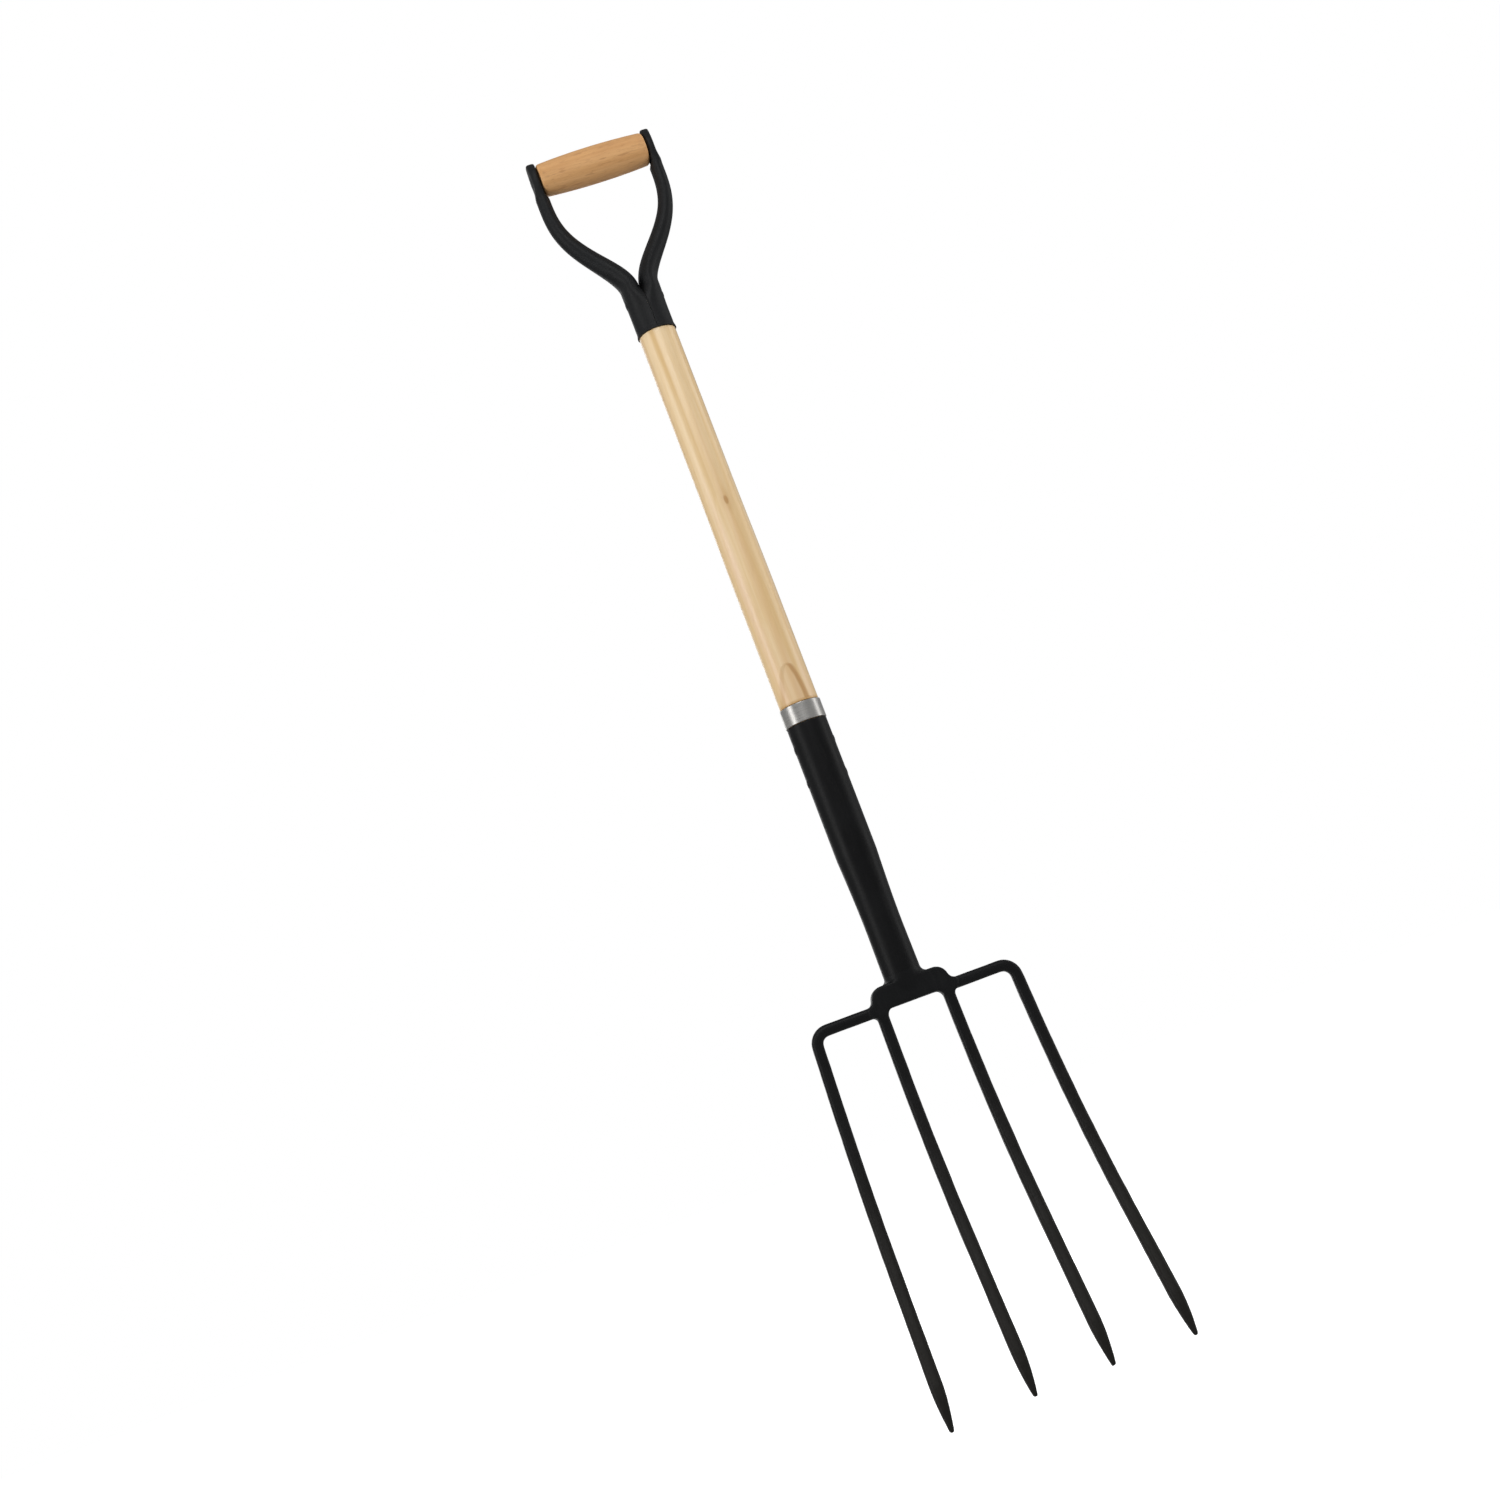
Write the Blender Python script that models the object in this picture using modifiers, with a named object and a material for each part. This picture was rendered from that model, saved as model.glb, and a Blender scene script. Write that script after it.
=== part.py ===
"""Digging fork with a wooden grip bar, a steel D yoke, a wooden shaft and a four-tine steel head.

Metres, +Z up along the shaft. The origin is the middle of the grip bar, where a hand or a peg holds
the fork. +X runs along the grip bar and across the tines. -Y is the front, to which the tines curve.
"""

import math

import bmesh
import bpy
from mathutils import Matrix, Vector

# ---- Clearance between pieces that touch ----
GAP = 0.0003
OVERLAP = 0.0001
CUTTER_REACH = 0.0050

# ---- Grip bar: a turned wooden barrel between the two straps of the yoke ----
GRIP_LENGTH = 0.0910
GRIP_MIDDLE_RADIUS = 0.0151
GRIP_END_RADIUS = 0.0134
GRIP_END_ROUND = 0.0032

# ---- Rod through the grip bar, with a head let into each strap ----
ROD_RADIUS = 0.0030
ROD_HEAD_RADIUS = 0.0052
ROD_HEAD_DEPTH = 0.0009
ROD_HEAD_PROUD = 0.0004

# ---- Yoke: two pressed halves, left and right, each a strap, an arm and half of a socket ----
STRAP_THICKNESS = 0.0072
STRAP_WIDTH = 0.0220
STRAP_ABOVE_GRIP = 0.0026
STRAP_TIP_HALF_WIDTH = 0.0030
STRAP_SQUARENESS = 0.55
ARM_SHEET = 0.0016
ARM_SHEET_MOST = 0.76
ARM_SEAM_ANGLE = math.radians(14)
ARM_WIDTH = 0.0170
ARM_THICKNESS_TOP = 0.0112
ARM_THICKNESS_BOTTOM = 0.0160
ARM_STEP_IN = 0.0024
ARM_TURN_HEIGHT = 0.0043
ARM_FLARE_DROP = 0.0740
ARM_SWEEP_SKEW = 1.52
CROTCH_DROP = 0.1134
SLOPE_STEP = 0.0005
YOKE_SOCKET_LENGTH = 0.0415
YOKE_VALLEY_LENGTH = 0.0240
YOKE_SOCKET_SHEET = 0.0015
YOKE_LIP_HEIGHT = 0.0042
YOKE_LIP_FLARE = 0.0007
YOKE_RIVET_DROP = 0.0115

# ---- Shaft: a turned wooden handle, a little thicker at its lower end ----
SHAFT_TOP_RADIUS = 0.0154
SHAFT_BOTTOM_RADIUS = 0.0160
SHAFT_OPEN_LENGTH = 0.3270
SHAFT_SWELL_START = 0.1300
SHAFT_SWELL_LENGTH = 0.1000
YOKE_TENON_RADIUS = 0.0140
SOCKET_TENON_RADIUS = 0.01445
SOCKET_TENON_LENGTH = 0.1050
TENON_CHAMFER = 0.0020

# ---- Band: a steel ring let into the shaft just above the socket ----
BAND_HEIGHT = 0.0152
BAND_WALL = 0.0011
BAND_PROUD = 0.0009

# ---- Socket: a steel tube, drawn in at its lower end and seated on the head ----
SOCKET_WALL = 0.0016
SOCKET_STRAIGHT_LENGTH = 0.1105
SOCKET_DRAWN_LENGTH = 0.0620
SOCKET_NECK_LENGTH = 0.0330
SOCKET_NECK_RADIUS = 0.01455
SOCKET_FOOT_RADIUS = 0.01485
SOCKET_FOOT_WALL = 0.0022

# ---- Cross rivets: shank through the wood, a low head in the steel on each side ----
RIVET_RADIUS = 0.0025
RIVET_HEAD_RADIUS = 0.0044
RIVET_HEAD_PROUD = 0.0007
RIVET_DOME = ((0.45, 0.86), (0.80, 0.46))
UPPER_RIVET_DROP = 0.0181
LOWER_RIVET_DROP = 0.0460

# ---- Head: bridge, spigot and four tines, forged in one ----
SPIGOT_LENGTH = 0.0350
HEAD_FORWARD = 0.0070
NECK_HEIGHT = 0.0230
NECK_FILLET = 0.0048
NECK_SINK = 0.0004
BRIDGE_THICKNESS = 0.0118
BRIDGE_EDGE_ROUND = 0.0022
BRIDGE_WEB_DROP = 0.0253
HUMP_DROP = 0.0068
HUMP_RADIUS = 0.0100
HUMP_FILLET = 0.0050
HUMP_INSET = 0.0056
NECK_INSET = 0.0020
ROOT_FILLET = 0.0045
OUTSIDE_FILLET = 0.0027
BAR_SIZE = 0.0091
BAR_DROP = 0.0193
BAR_TAPER_LENGTH = 0.0120
TINE_ROOT_SIZE = 0.0093
TINE_END_SIZE = 0.0103
TINE_POINT_SIZE = 0.0036
TINE_POINT_LENGTH = 0.0340
TINE_POINT_SETBACK = 0.0034
TINE_POINT_CURVE = 1.6
TINE_CORNER = 0.4
INNER_TINE_LENGTH = 0.3083
OUTER_TINE_LENGTH = 0.2995
INNER_ROOT_SPREAD = 0.0271
INNER_TIP_SPREAD = 0.0307
OUTER_ROOT_SPREAD = 0.0820
OUTER_TIP_SPREAD = 0.0958
SHOULDER_RADIUS = 0.0105
TINE_STRAIGHT_LENGTH = 0.0350
TINE_BEND_RADIUS = 0.4490
TINE_BEND_ANGLE = math.radians(19.5)

# ---- Facets ----
ROUND_SIDES = 36
ROD_SIDES = 20
ARM_SIDES = 10
YOKE_SOCKET_STATIONS = 9

# ---- Heights that follow from the sizes above; every z is measured from the grip bar's axis ----
STRAP_INNER_X = GRIP_LENGTH / 2 + GAP
STRAP_OUTER_X = STRAP_INNER_X + STRAP_THICKNESS
STRAP_TOP_Z = GRIP_END_RADIUS + STRAP_ABOVE_GRIP
STRAP_END_DROP = GRIP_END_RADIUS + GAP
ARM_START_DROP = STRAP_END_DROP + ARM_TURN_HEIGHT
ROD_HEAD_SEAT_X = STRAP_OUTER_X - ROD_HEAD_DEPTH
CROTCH_Z = -CROTCH_DROP
YOKE_END_Z = CROTCH_Z - YOKE_SOCKET_LENGTH
YOKE_RIVET_Z = CROTCH_Z - YOKE_RIVET_DROP
SHAFT_SHOULDER_Z = YOKE_END_Z - GAP
BAND_TOP_Z = SHAFT_SHOULDER_Z - SHAFT_OPEN_LENGTH
BAND_BOTTOM_Z = BAND_TOP_Z - BAND_HEIGHT
SOCKET_TOP_Z = BAND_BOTTOM_Z - GAP
UPPER_RIVET_Z = SOCKET_TOP_Z - UPPER_RIVET_DROP
LOWER_RIVET_Z = SOCKET_TOP_Z - LOWER_RIVET_DROP
SOCKET_DRAWN_Z = SOCKET_TOP_Z - SOCKET_STRAIGHT_LENGTH
SOCKET_NECK_Z = SOCKET_DRAWN_Z - SOCKET_DRAWN_LENGTH
SOCKET_FOOT_Z = SOCKET_NECK_Z - SOCKET_NECK_LENGTH
HEAD_TOP_Z = SOCKET_FOOT_Z - GAP
BAR_Z = HEAD_TOP_Z - BAR_DROP - BAR_SIZE / 2
HEAD_Y = -HEAD_FORWARD

YOKE_SOCKET_STEP = YOKE_SOCKET_LENGTH / YOKE_SOCKET_STATIONS
YOKE_SOCKET_DROPS = [YOKE_SOCKET_STEP * i for i in range(YOKE_SOCKET_STATIONS + 1)]
YOKE_BORE_RADIUS = YOKE_TENON_RADIUS + GAP
YOKE_SOCKET_RADIUS = YOKE_BORE_RADIUS + YOKE_SOCKET_SHEET
BAND_OUTER_RADIUS = SHAFT_BOTTOM_RADIUS + BAND_PROUD
BAND_BORE_RADIUS = BAND_OUTER_RADIUS - BAND_WALL
SOCKET_BORE_RADIUS = SOCKET_TENON_RADIUS + GAP
SOCKET_RADIUS = SOCKET_BORE_RADIUS + SOCKET_WALL
SPIGOT_RADIUS = SOCKET_FOOT_RADIUS - SOCKET_FOOT_WALL - GAP


# ---------------------------------------------------------------- scene and materials


def clear_scene():
    for obj in list(bpy.data.objects):
        bpy.data.objects.remove(obj, do_unlink=True)


def new_collection(name):
    collection = bpy.data.collections.new(name)
    bpy.context.scene.collection.children.link(collection)
    return collection


def new_material(name, colour, roughness, metallic=0.0):
    material = bpy.data.materials.new(name)
    material.use_nodes = True
    shader = material.node_tree.nodes["Principled BSDF"]
    shader.inputs["Base Color"].default_value = (*colour, 1.0)
    shader.inputs["Roughness"].default_value = roughness
    shader.inputs["Metallic"].default_value = metallic
    return material


def add_object(name, mesh, collection, material=None, smooth=True):
    obj = bpy.data.objects.new(name, mesh)
    collection.objects.link(obj)
    if material:
        mesh.materials.append(material)
    if smooth:
        mesh.shade_smooth()
        mesh.set_sharp_from_angle(angle=math.radians(35))
    return obj


def add_helper(name, mesh):
    """A cutter, or a body that another one is joined with. It is left out of the render."""
    obj = bpy.data.objects.new(name, mesh)
    HELPERS.objects.link(obj)
    obj.hide_render = True
    obj.display_type = "WIRE"
    return obj


def boolean(obj, other, operation="DIFFERENCE"):
    modifier = obj.modifiers.new(other.name, "BOOLEAN")
    modifier.operation = operation
    modifier.object = other


# ---------------------------------------------------------------- shape helpers


def smoothstep(value):
    value = min(max(value, 0.0), 1.0)
    return value * value * (3 - 2 * value)


def blend(start, end, amount):
    return start + (end - start) * amount


def turned(name, profile, collection, material=None, sides=ROUND_SIDES, along_x=False):
    """A turned solid. The profile lists (radius, height) down the outer side, and up a bore if it has one."""
    mesh = bpy.data.meshes.new(name)
    shape = bmesh.new()
    points = [shape.verts.new((radius, 0, height)) for radius, height in profile]
    closed = profile[0][0] > 0
    for start, end in zip(points, points[1:] + points[:1] if closed else points[1:]):
        shape.edges.new((start, end))
    shape.to_mesh(mesh)
    shape.free()
    obj = add_object(name, mesh, collection, material, smooth=False)
    screw = obj.modifiers.new("Turn", "SCREW")
    screw.steps = sides
    screw.render_steps = sides
    screw.use_merge_vertices = True
    screw.merge_threshold = 0.00001
    screw.use_smooth_shade = True
    if along_x:
        obj.rotation_euler = (0, math.radians(90), 0)
    return obj


def cylinder_along_x(name, radius, x_low, x_high, z, sides=ROD_SIDES):
    mesh = bpy.data.meshes.new(name)
    shape = bmesh.new()
    bmesh.ops.create_cone(
        shape, cap_ends=True, segments=sides, radius1=radius, radius2=radius, depth=x_high - x_low
    )
    turn = Matrix.Rotation(math.radians(90), 4, "Y")
    move = Matrix.Translation(((x_low + x_high) / 2, 0, z))
    bmesh.ops.transform(shape, matrix=move @ turn, verts=shape.verts)
    shape.to_mesh(mesh)
    shape.free()
    return add_helper(name, mesh)


def lofted(name, rings):
    """A closed body through rings that all have the same number of points."""
    mesh = bpy.data.meshes.new(name)
    shape = bmesh.new()
    loops = [[shape.verts.new(point) for point in ring] for ring in rings]
    for low, high in zip(loops, loops[1:]):
        for i in range(len(low)):
            j = (i + 1) % len(low)
            shape.faces.new((low[i], low[j], high[j], high[i]))
    shape.faces.new(loops[0][::-1])
    shape.faces.new(loops[-1])
    bmesh.ops.recalc_face_normals(shape, faces=shape.faces)
    shape.to_mesh(mesh)
    shape.free()
    return mesh


def mesh_of_curve(curve_object, name):
    """The curve object as a closed mesh, with its caps welded on. The curve is removed."""
    bpy.context.view_layer.update()
    graph = bpy.context.evaluated_depsgraph_get()
    mesh = bpy.data.meshes.new_from_object(curve_object.evaluated_get(graph))
    mesh.name = name
    mesh.transform(curve_object.matrix_world)
    shape = bmesh.new()
    shape.from_mesh(mesh)
    bmesh.ops.remove_doubles(shape, verts=shape.verts, dist=0.00001)
    shape.to_mesh(mesh)
    shape.free()
    bpy.data.objects.remove(curve_object, do_unlink=True)
    return mesh


def arc_points(centre, radius, start, end, count):
    """Points on an arc in the XZ plane, with angles in degrees from +X towards +Z."""
    angles = [math.radians(blend(start, end, i / count)) for i in range(count + 1)]
    return [
        (centre[0] + radius * math.cos(angle), centre[1] + radius * math.sin(angle))
        for angle in angles
    ]


# ---------------------------------------------------------------- grip bar and its rod


def make_grip():
    half = GRIP_LENGTH / 2
    bore = ROD_RADIUS + GAP
    stations = 10
    side = []
    for i in range(stations + 1):
        height = half - GRIP_END_ROUND - i / stations * (GRIP_LENGTH - 2 * GRIP_END_ROUND)
        swell = 1 - (height / half) ** 2
        side.append((blend(GRIP_END_RADIUS, GRIP_MIDDLE_RADIUS, swell), height))
    shrink = side[0][0]
    top = [
        (radius + shrink - GRIP_END_ROUND, height + half - GRIP_END_ROUND)
        for radius, height in arc_points((0, 0), GRIP_END_ROUND, 90, 15, 3)
    ]
    bottom = [(radius, -height) for radius, height in reversed(top)]
    profile = [(bore, half), *top, *side, *bottom, (bore, -half)]
    return turned("hand_grip", profile, PARTS, GRIP_WOOD, along_x=True)


def make_grip_rod():
    end = STRAP_OUTER_X + ROD_HEAD_PROUD
    upper = [
        (0, end),
        (ROD_HEAD_RADIUS - ROD_HEAD_PROUD, end),
        (ROD_HEAD_RADIUS, STRAP_OUTER_X),
        (ROD_HEAD_RADIUS, ROD_HEAD_SEAT_X),
        (ROD_RADIUS, ROD_HEAD_SEAT_X),
    ]
    lower = [(radius, -height) for radius, height in reversed(upper)]
    return turned("grip_rod", upper + lower, PARTS, BLACK_STEEL, ROD_SIDES, along_x=True)


# ---------------------------------------------------------------- yoke


def strap_edges(z):
    """Inner and outer x of the right strap. It widens outwards beside the grip bar, and inwards below it."""
    arm_inner = STRAP_INNER_X - ARM_STEP_IN
    outwards = smoothstep((-z - ROD_HEAD_RADIUS) / (ARM_START_DROP - ROD_HEAD_RADIUS))
    inwards = smoothstep((-z - STRAP_END_DROP) / ARM_TURN_HEIGHT)
    outer = blend(STRAP_OUTER_X, arm_inner + ARM_THICKNESS_TOP, outwards)
    return blend(STRAP_INNER_X, arm_inner, inwards), outer


def arm_half_thickness(z):
    """Half of the arm's thickness in the plane of the D."""
    if z > -ARM_START_DROP:
        inner, outer = strap_edges(z)
        return (outer - inner) / 2
    amount = smoothstep((-z - ARM_START_DROP) / (CROTCH_DROP - ARM_START_DROP))
    return blend(ARM_THICKNESS_TOP, ARM_THICKNESS_BOTTOM, amount) / 2


def arm_centre_x(z):
    """Distance of the arm's centre line from the shaft's axis."""
    if z > -ARM_START_DROP:
        return sum(strap_edges(z)) / 2
    drop = (-z - ARM_START_DROP) / (CROTCH_DROP - ARM_START_DROP)
    crotch = ARM_THICKNESS_BOTTOM / 2 + GAP / 2
    return blend(sum(strap_edges(-ARM_START_DROP)) / 2, crotch, smoothstep(min(drop, 1.0) ** ARM_SWEEP_SKEW))


def arm_lean(z):
    """Angle of the arm's section, which lies level in the strap and square to the centre line lower down."""
    if z > -ARM_START_DROP:
        return 0.0
    rise = arm_centre_x(z) - arm_centre_x(z - SLOPE_STEP)
    return math.atan2(rise, SLOPE_STEP)


def arm_squareness(z):
    """Power that gives the section its shape: one for an oval, less for flat faces with round corners."""
    return blend(STRAP_SQUARENESS, 1.0, smoothstep((-z - STRAP_END_DROP) / ARM_TURN_HEIGHT))


def arm_half_width(z):
    """Half of the arm's width from front to back."""
    strap = STRAP_WIDTH / 2
    arm = ARM_WIDTH / 2
    if z > 0:
        reach = min(z / STRAP_TOP_Z, 1.0)
        return strap * math.sqrt(1 - reach * reach)
    if z > -ARM_START_DROP:
        return blend(strap, arm, smoothstep(-z / ARM_START_DROP))
    flare_end = CROTCH_DROP + YOKE_VALLEY_LENGTH / 2
    amount = smoothstep((-z - ARM_FLARE_DROP) / (flare_end - ARM_FLARE_DROP))
    return blend(arm, YOKE_SOCKET_RADIUS, amount)


def yoke_socket_oval(drop):
    """Middle, half thickness and half width of the right half's outside, at a drop below the crotch.

    Two round arms stand side by side at the crotch. Lower down they run together into one tube.
    """
    valley = 1 - smoothstep(drop / YOKE_VALLEY_LENGTH)
    lip_start = YOKE_SOCKET_LENGTH - YOKE_LIP_HEIGHT
    flare = YOKE_LIP_FLARE * smoothstep((drop - lip_start) / YOKE_LIP_HEIGHT)
    centre = valley * (ARM_THICKNESS_BOTTOM / 2 + GAP / 2)
    thick = blend(YOKE_SOCKET_RADIUS + flare, ARM_THICKNESS_BOTTOM / 2, valley)
    wide = min(arm_half_width(CROTCH_Z - drop), YOKE_SOCKET_RADIUS) + flare
    return centre, thick, wide


def tenon_room(drop):
    """Radius that fits between the yoke's halves at a drop below the crotch."""
    centre, thick, wide = yoke_socket_oval(drop)
    thick -= YOKE_SOCKET_SHEET
    wide -= YOKE_SOCKET_SHEET
    if centre >= thick:
        return 0.0
    at_seam = wide * math.sqrt(1 - (centre / thick) ** 2)
    flat_of_facet = math.cos(math.acos(-centre / thick) / ARM_SIDES)
    return min(at_seam * flat_of_facet - GAP, YOKE_TENON_RADIUS)


def powered(value, power):
    return math.copysign(abs(value) ** power, value)


def half_section(centre, half_thickness, half_width, sheet, plane_x, power=1.0):
    """A bent sheet seen end on, as (outward, y) points: round outside, then back along the inside.

    It stops at the seam, or where it would reach over the plane between the two halves.
    """
    outline = []
    for inset, order in ((0.0, 1), (sheet, -1)):
        thick = half_thickness - inset
        wide = half_width - inset
        reach = min(max((plane_x - centre) / thick, -1.0), 1.0)
        end = min(math.pi - ARM_SEAM_ANGLE, math.acos(reach))
        angles = [blend(-end, end, i / ARM_SIDES) for i in range(ARM_SIDES + 1)][::order]
        for angle in angles:
            outward = thick * powered(math.cos(angle), power)
            outline.append((centre + outward, wide * powered(math.sin(angle), power)))
    return outline


def yoke_rings():
    """Rings of the right half, from the top of the strap down to the lip of the socket."""
    rings = []
    strap_stations = [STRAP_TOP_Z * share for share in (1.0, 0.94, 0.8, 0.5, 0.0)]
    arm_stations = [-ROD_HEAD_RADIUS, -(ROD_HEAD_RADIUS + STRAP_END_DROP) / 2]
    arm_stations += [-STRAP_END_DROP - ARM_TURN_HEIGHT * share for share in (0.0, 0.35, 0.65, 1.0)]
    count = 13
    sweep = (CROTCH_DROP - ARM_START_DROP) / count
    arm_stations += [-ARM_START_DROP - sweep * i for i in range(1, count)]
    for z in strap_stations + arm_stations:
        lean = arm_lean(z)
        thick = arm_half_thickness(z)
        wide = max(arm_half_width(z), STRAP_TIP_HALF_WIDTH)
        most = ARM_SHEET_MOST * min(thick, wide)
        sheet = most if z == STRAP_TOP_Z else min(ARM_SHEET, most)
        centre = arm_centre_x(z)
        plane = (GAP / 2 - centre) / math.cos(lean)
        ring = []
        for outward, y in half_section(0, thick, wide, sheet, plane, arm_squareness(z)):
            ring.append((centre + outward * math.cos(lean), y, z - outward * math.sin(lean)))
        rings.append(ring)
    for drop in YOKE_SOCKET_DROPS:
        centre, thick, wide = yoke_socket_oval(drop)
        section = half_section(centre, thick, wide, YOKE_SOCKET_SHEET, GAP / 2)
        rings.append([(x, y, CROTCH_Z - drop) for x, y in section])
    return rings


def make_yoke_half(name, side):
    rings = [[(side * x, y, z) for x, y, z in ring] for ring in yoke_rings()]
    obj = add_object(name, lofted(name, rings), PARTS, BLACK_STEEL)
    boolean(obj, ROD_HOLE)
    boolean(obj, ROD_SEATS)
    boolean(obj, YOKE_RIVET_SEATS)
    return obj


# ---------------------------------------------------------------- shaft, band, socket and rivets


def make_shaft():
    tenon_end = SOCKET_TOP_Z - SOCKET_TENON_LENGTH
    swell_top = SHAFT_SHOULDER_Z - SHAFT_SWELL_START
    rebate = BAND_BORE_RADIUS - GAP
    nose = [drop for drop in YOKE_SOCKET_DROPS if tenon_room(drop) > 0]
    profile = [(0, CROTCH_Z - nose[0])]
    profile += [(tenon_room(drop), CROTCH_Z - drop) for drop in nose[:-1]]
    profile += [(YOKE_TENON_RADIUS, SHAFT_SHOULDER_Z), (SHAFT_TOP_RADIUS, SHAFT_SHOULDER_Z)]
    stations = 6
    for i in range(stations + 1):
        radius = blend(SHAFT_TOP_RADIUS, SHAFT_BOTTOM_RADIUS, smoothstep(i / stations))
        profile.append((radius, swell_top - SHAFT_SWELL_LENGTH * i / stations))
    profile += [
        (SHAFT_BOTTOM_RADIUS, BAND_TOP_Z + GAP),
        (rebate, BAND_TOP_Z + GAP),
        (rebate, (BAND_BOTTOM_Z + SOCKET_TOP_Z) / 2),
        (SOCKET_TENON_RADIUS, (BAND_BOTTOM_Z + SOCKET_TOP_Z) / 2),
        (SOCKET_TENON_RADIUS, tenon_end + TENON_CHAMFER),
        (SOCKET_TENON_RADIUS - TENON_CHAMFER, tenon_end),
        (0, tenon_end),
    ]
    obj = turned("shaft", profile, PARTS, SHAFT_WOOD)
    for cutter in (YOKE_RIVET_HOLE, UPPER_RIVET_HOLE, LOWER_RIVET_HOLE):
        boolean(obj, cutter)
    return obj


def make_band():
    soften = BAND_WALL / 3
    profile = [
        (BAND_BORE_RADIUS, BAND_TOP_Z),
        (BAND_OUTER_RADIUS - soften, BAND_TOP_Z),
        (BAND_OUTER_RADIUS, BAND_TOP_Z - soften),
        (BAND_OUTER_RADIUS, BAND_BOTTOM_Z + soften),
        (BAND_OUTER_RADIUS - soften, BAND_BOTTOM_Z),
        (BAND_BORE_RADIUS, BAND_BOTTOM_Z),
    ]
    return turned("band", profile, PARTS, BAND_STEEL)


def make_socket():
    soften = SOCKET_WALL / 3
    outer = [
        (SOCKET_BORE_RADIUS, SOCKET_TOP_Z),
        (SOCKET_RADIUS - soften, SOCKET_TOP_Z),
        (SOCKET_RADIUS, SOCKET_TOP_Z - soften),
    ]
    stations = 8
    for i in range(stations + 1):
        radius = blend(SOCKET_RADIUS, SOCKET_NECK_RADIUS, math.sin(math.pi / 2 * i / stations))
        outer.append((radius, SOCKET_DRAWN_Z - SOCKET_DRAWN_LENGTH * i / stations))
    outer.append((SOCKET_FOOT_RADIUS, SOCKET_FOOT_Z))
    foot_bore = SOCKET_FOOT_RADIUS - SOCKET_FOOT_WALL
    bore = [(foot_bore, SOCKET_FOOT_Z), (foot_bore, SOCKET_NECK_Z), (SOCKET_BORE_RADIUS, SOCKET_DRAWN_Z)]
    obj = turned("socket", outer + bore, PARTS, BLACK_STEEL)
    boolean(obj, UPPER_RIVET_SEATS)
    boolean(obj, LOWER_RIVET_SEATS)
    return obj


def make_rivet(name, z, seat_x, outer_x, material):
    """A rivet along X. Its heads fill the holes in the steel and stand a little proud of it."""
    proud = outer_x + RIVET_HEAD_PROUD
    rim = math.sqrt(outer_x**2 - RIVET_HEAD_RADIUS**2)
    dome = [(RIVET_HEAD_RADIUS * out, blend(rim, proud, up)) for out, up in RIVET_DOME]
    head = [(RIVET_HEAD_RADIUS, rim), (RIVET_HEAD_RADIUS, seat_x)]
    upper = [(0, proud), *dome, *head, (RIVET_RADIUS, seat_x)]
    lower = [(radius, -height) for radius, height in reversed(upper)]
    obj = turned(name, upper + lower, PARTS, material, ROD_SIDES, along_x=True)
    obj.location.z = z
    return obj


# ---------------------------------------------------------------- head


def tine_path(root_spread, tip_spread, length, start):
    """Centre line of one tine on the +X side, with the size of the bar at each point.

    start holds the points before the tine's root. The tine bends forward on an arc and then runs straight.
    """
    points = list(start)
    root_z = points[-1][0].z
    point_start = length - TINE_POINT_LENGTH
    stations = 14
    runs = [point_start * i / stations for i in range(1, stations + 1)]
    runs += [point_start + TINE_POINT_LENGTH * share for share in (0.25, 0.5, 0.75, 1.0)]
    for run in runs:
        along = max(run - TINE_STRAIGHT_LENGTH, 0.0)
        bent = min(along / TINE_BEND_RADIUS, TINE_BEND_ANGLE)
        after = along - bent * TINE_BEND_RADIUS
        forward = TINE_BEND_RADIUS * (1 - math.cos(bent)) + after * math.sin(bent)
        down = min(run, TINE_STRAIGHT_LENGTH) + TINE_BEND_RADIUS * math.sin(bent) + after * math.cos(bent)
        size = blend(TINE_ROOT_SIZE, TINE_END_SIZE, run / point_start)
        setback = 0.0
        if run > point_start:
            sharpened = ((run - point_start) / TINE_POINT_LENGTH) ** TINE_POINT_CURVE
            size = blend(TINE_END_SIZE, TINE_POINT_SIZE, sharpened)
            setback = TINE_POINT_SETBACK * sharpened
        x = blend(root_spread, tip_spread, run / length)
        points.append((Vector((x, HEAD_Y - forward + setback, root_z - down)), size))
    return points


def tine_section():
    """A square with soft corners, one unit from its middle to each side."""
    corner = [(1.0, 1 - TINE_CORNER), (1 - TINE_CORNER, 1.0)]
    points = []
    for quarter in range(4):
        for x, y in corner:
            for _ in range(quarter):
                x, y = -y, x
            points.append((x, y))
    return points


def make_tine(name, path, side):
    """The tine as a body, with its square section kept level along the whole path."""
    section = tine_section()
    rings = []
    across = Vector((0, 1, 0))
    for i, (point, size) in enumerate(path):
        ahead = path[min(i + 1, len(path) - 1)][0] - path[max(i - 1, 0)][0]
        ahead.normalize()
        sideways = across.cross(ahead).normalized()
        upright = ahead.cross(sideways)
        ring = [point + (sideways * u + upright * v) * size / 2 for u, v in section]
        rings.append([(side * corner.x, corner.y, corner.z) for corner in ring])
    return add_helper(name, lofted(name, rings))


def inner_path():
    root = Vector((INNER_ROOT_SPREAD, HEAD_Y, BAR_Z))
    return tine_path(INNER_ROOT_SPREAD, INNER_TIP_SPREAD, INNER_TINE_LENGTH, [(root, TINE_ROOT_SIZE)])


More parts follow.
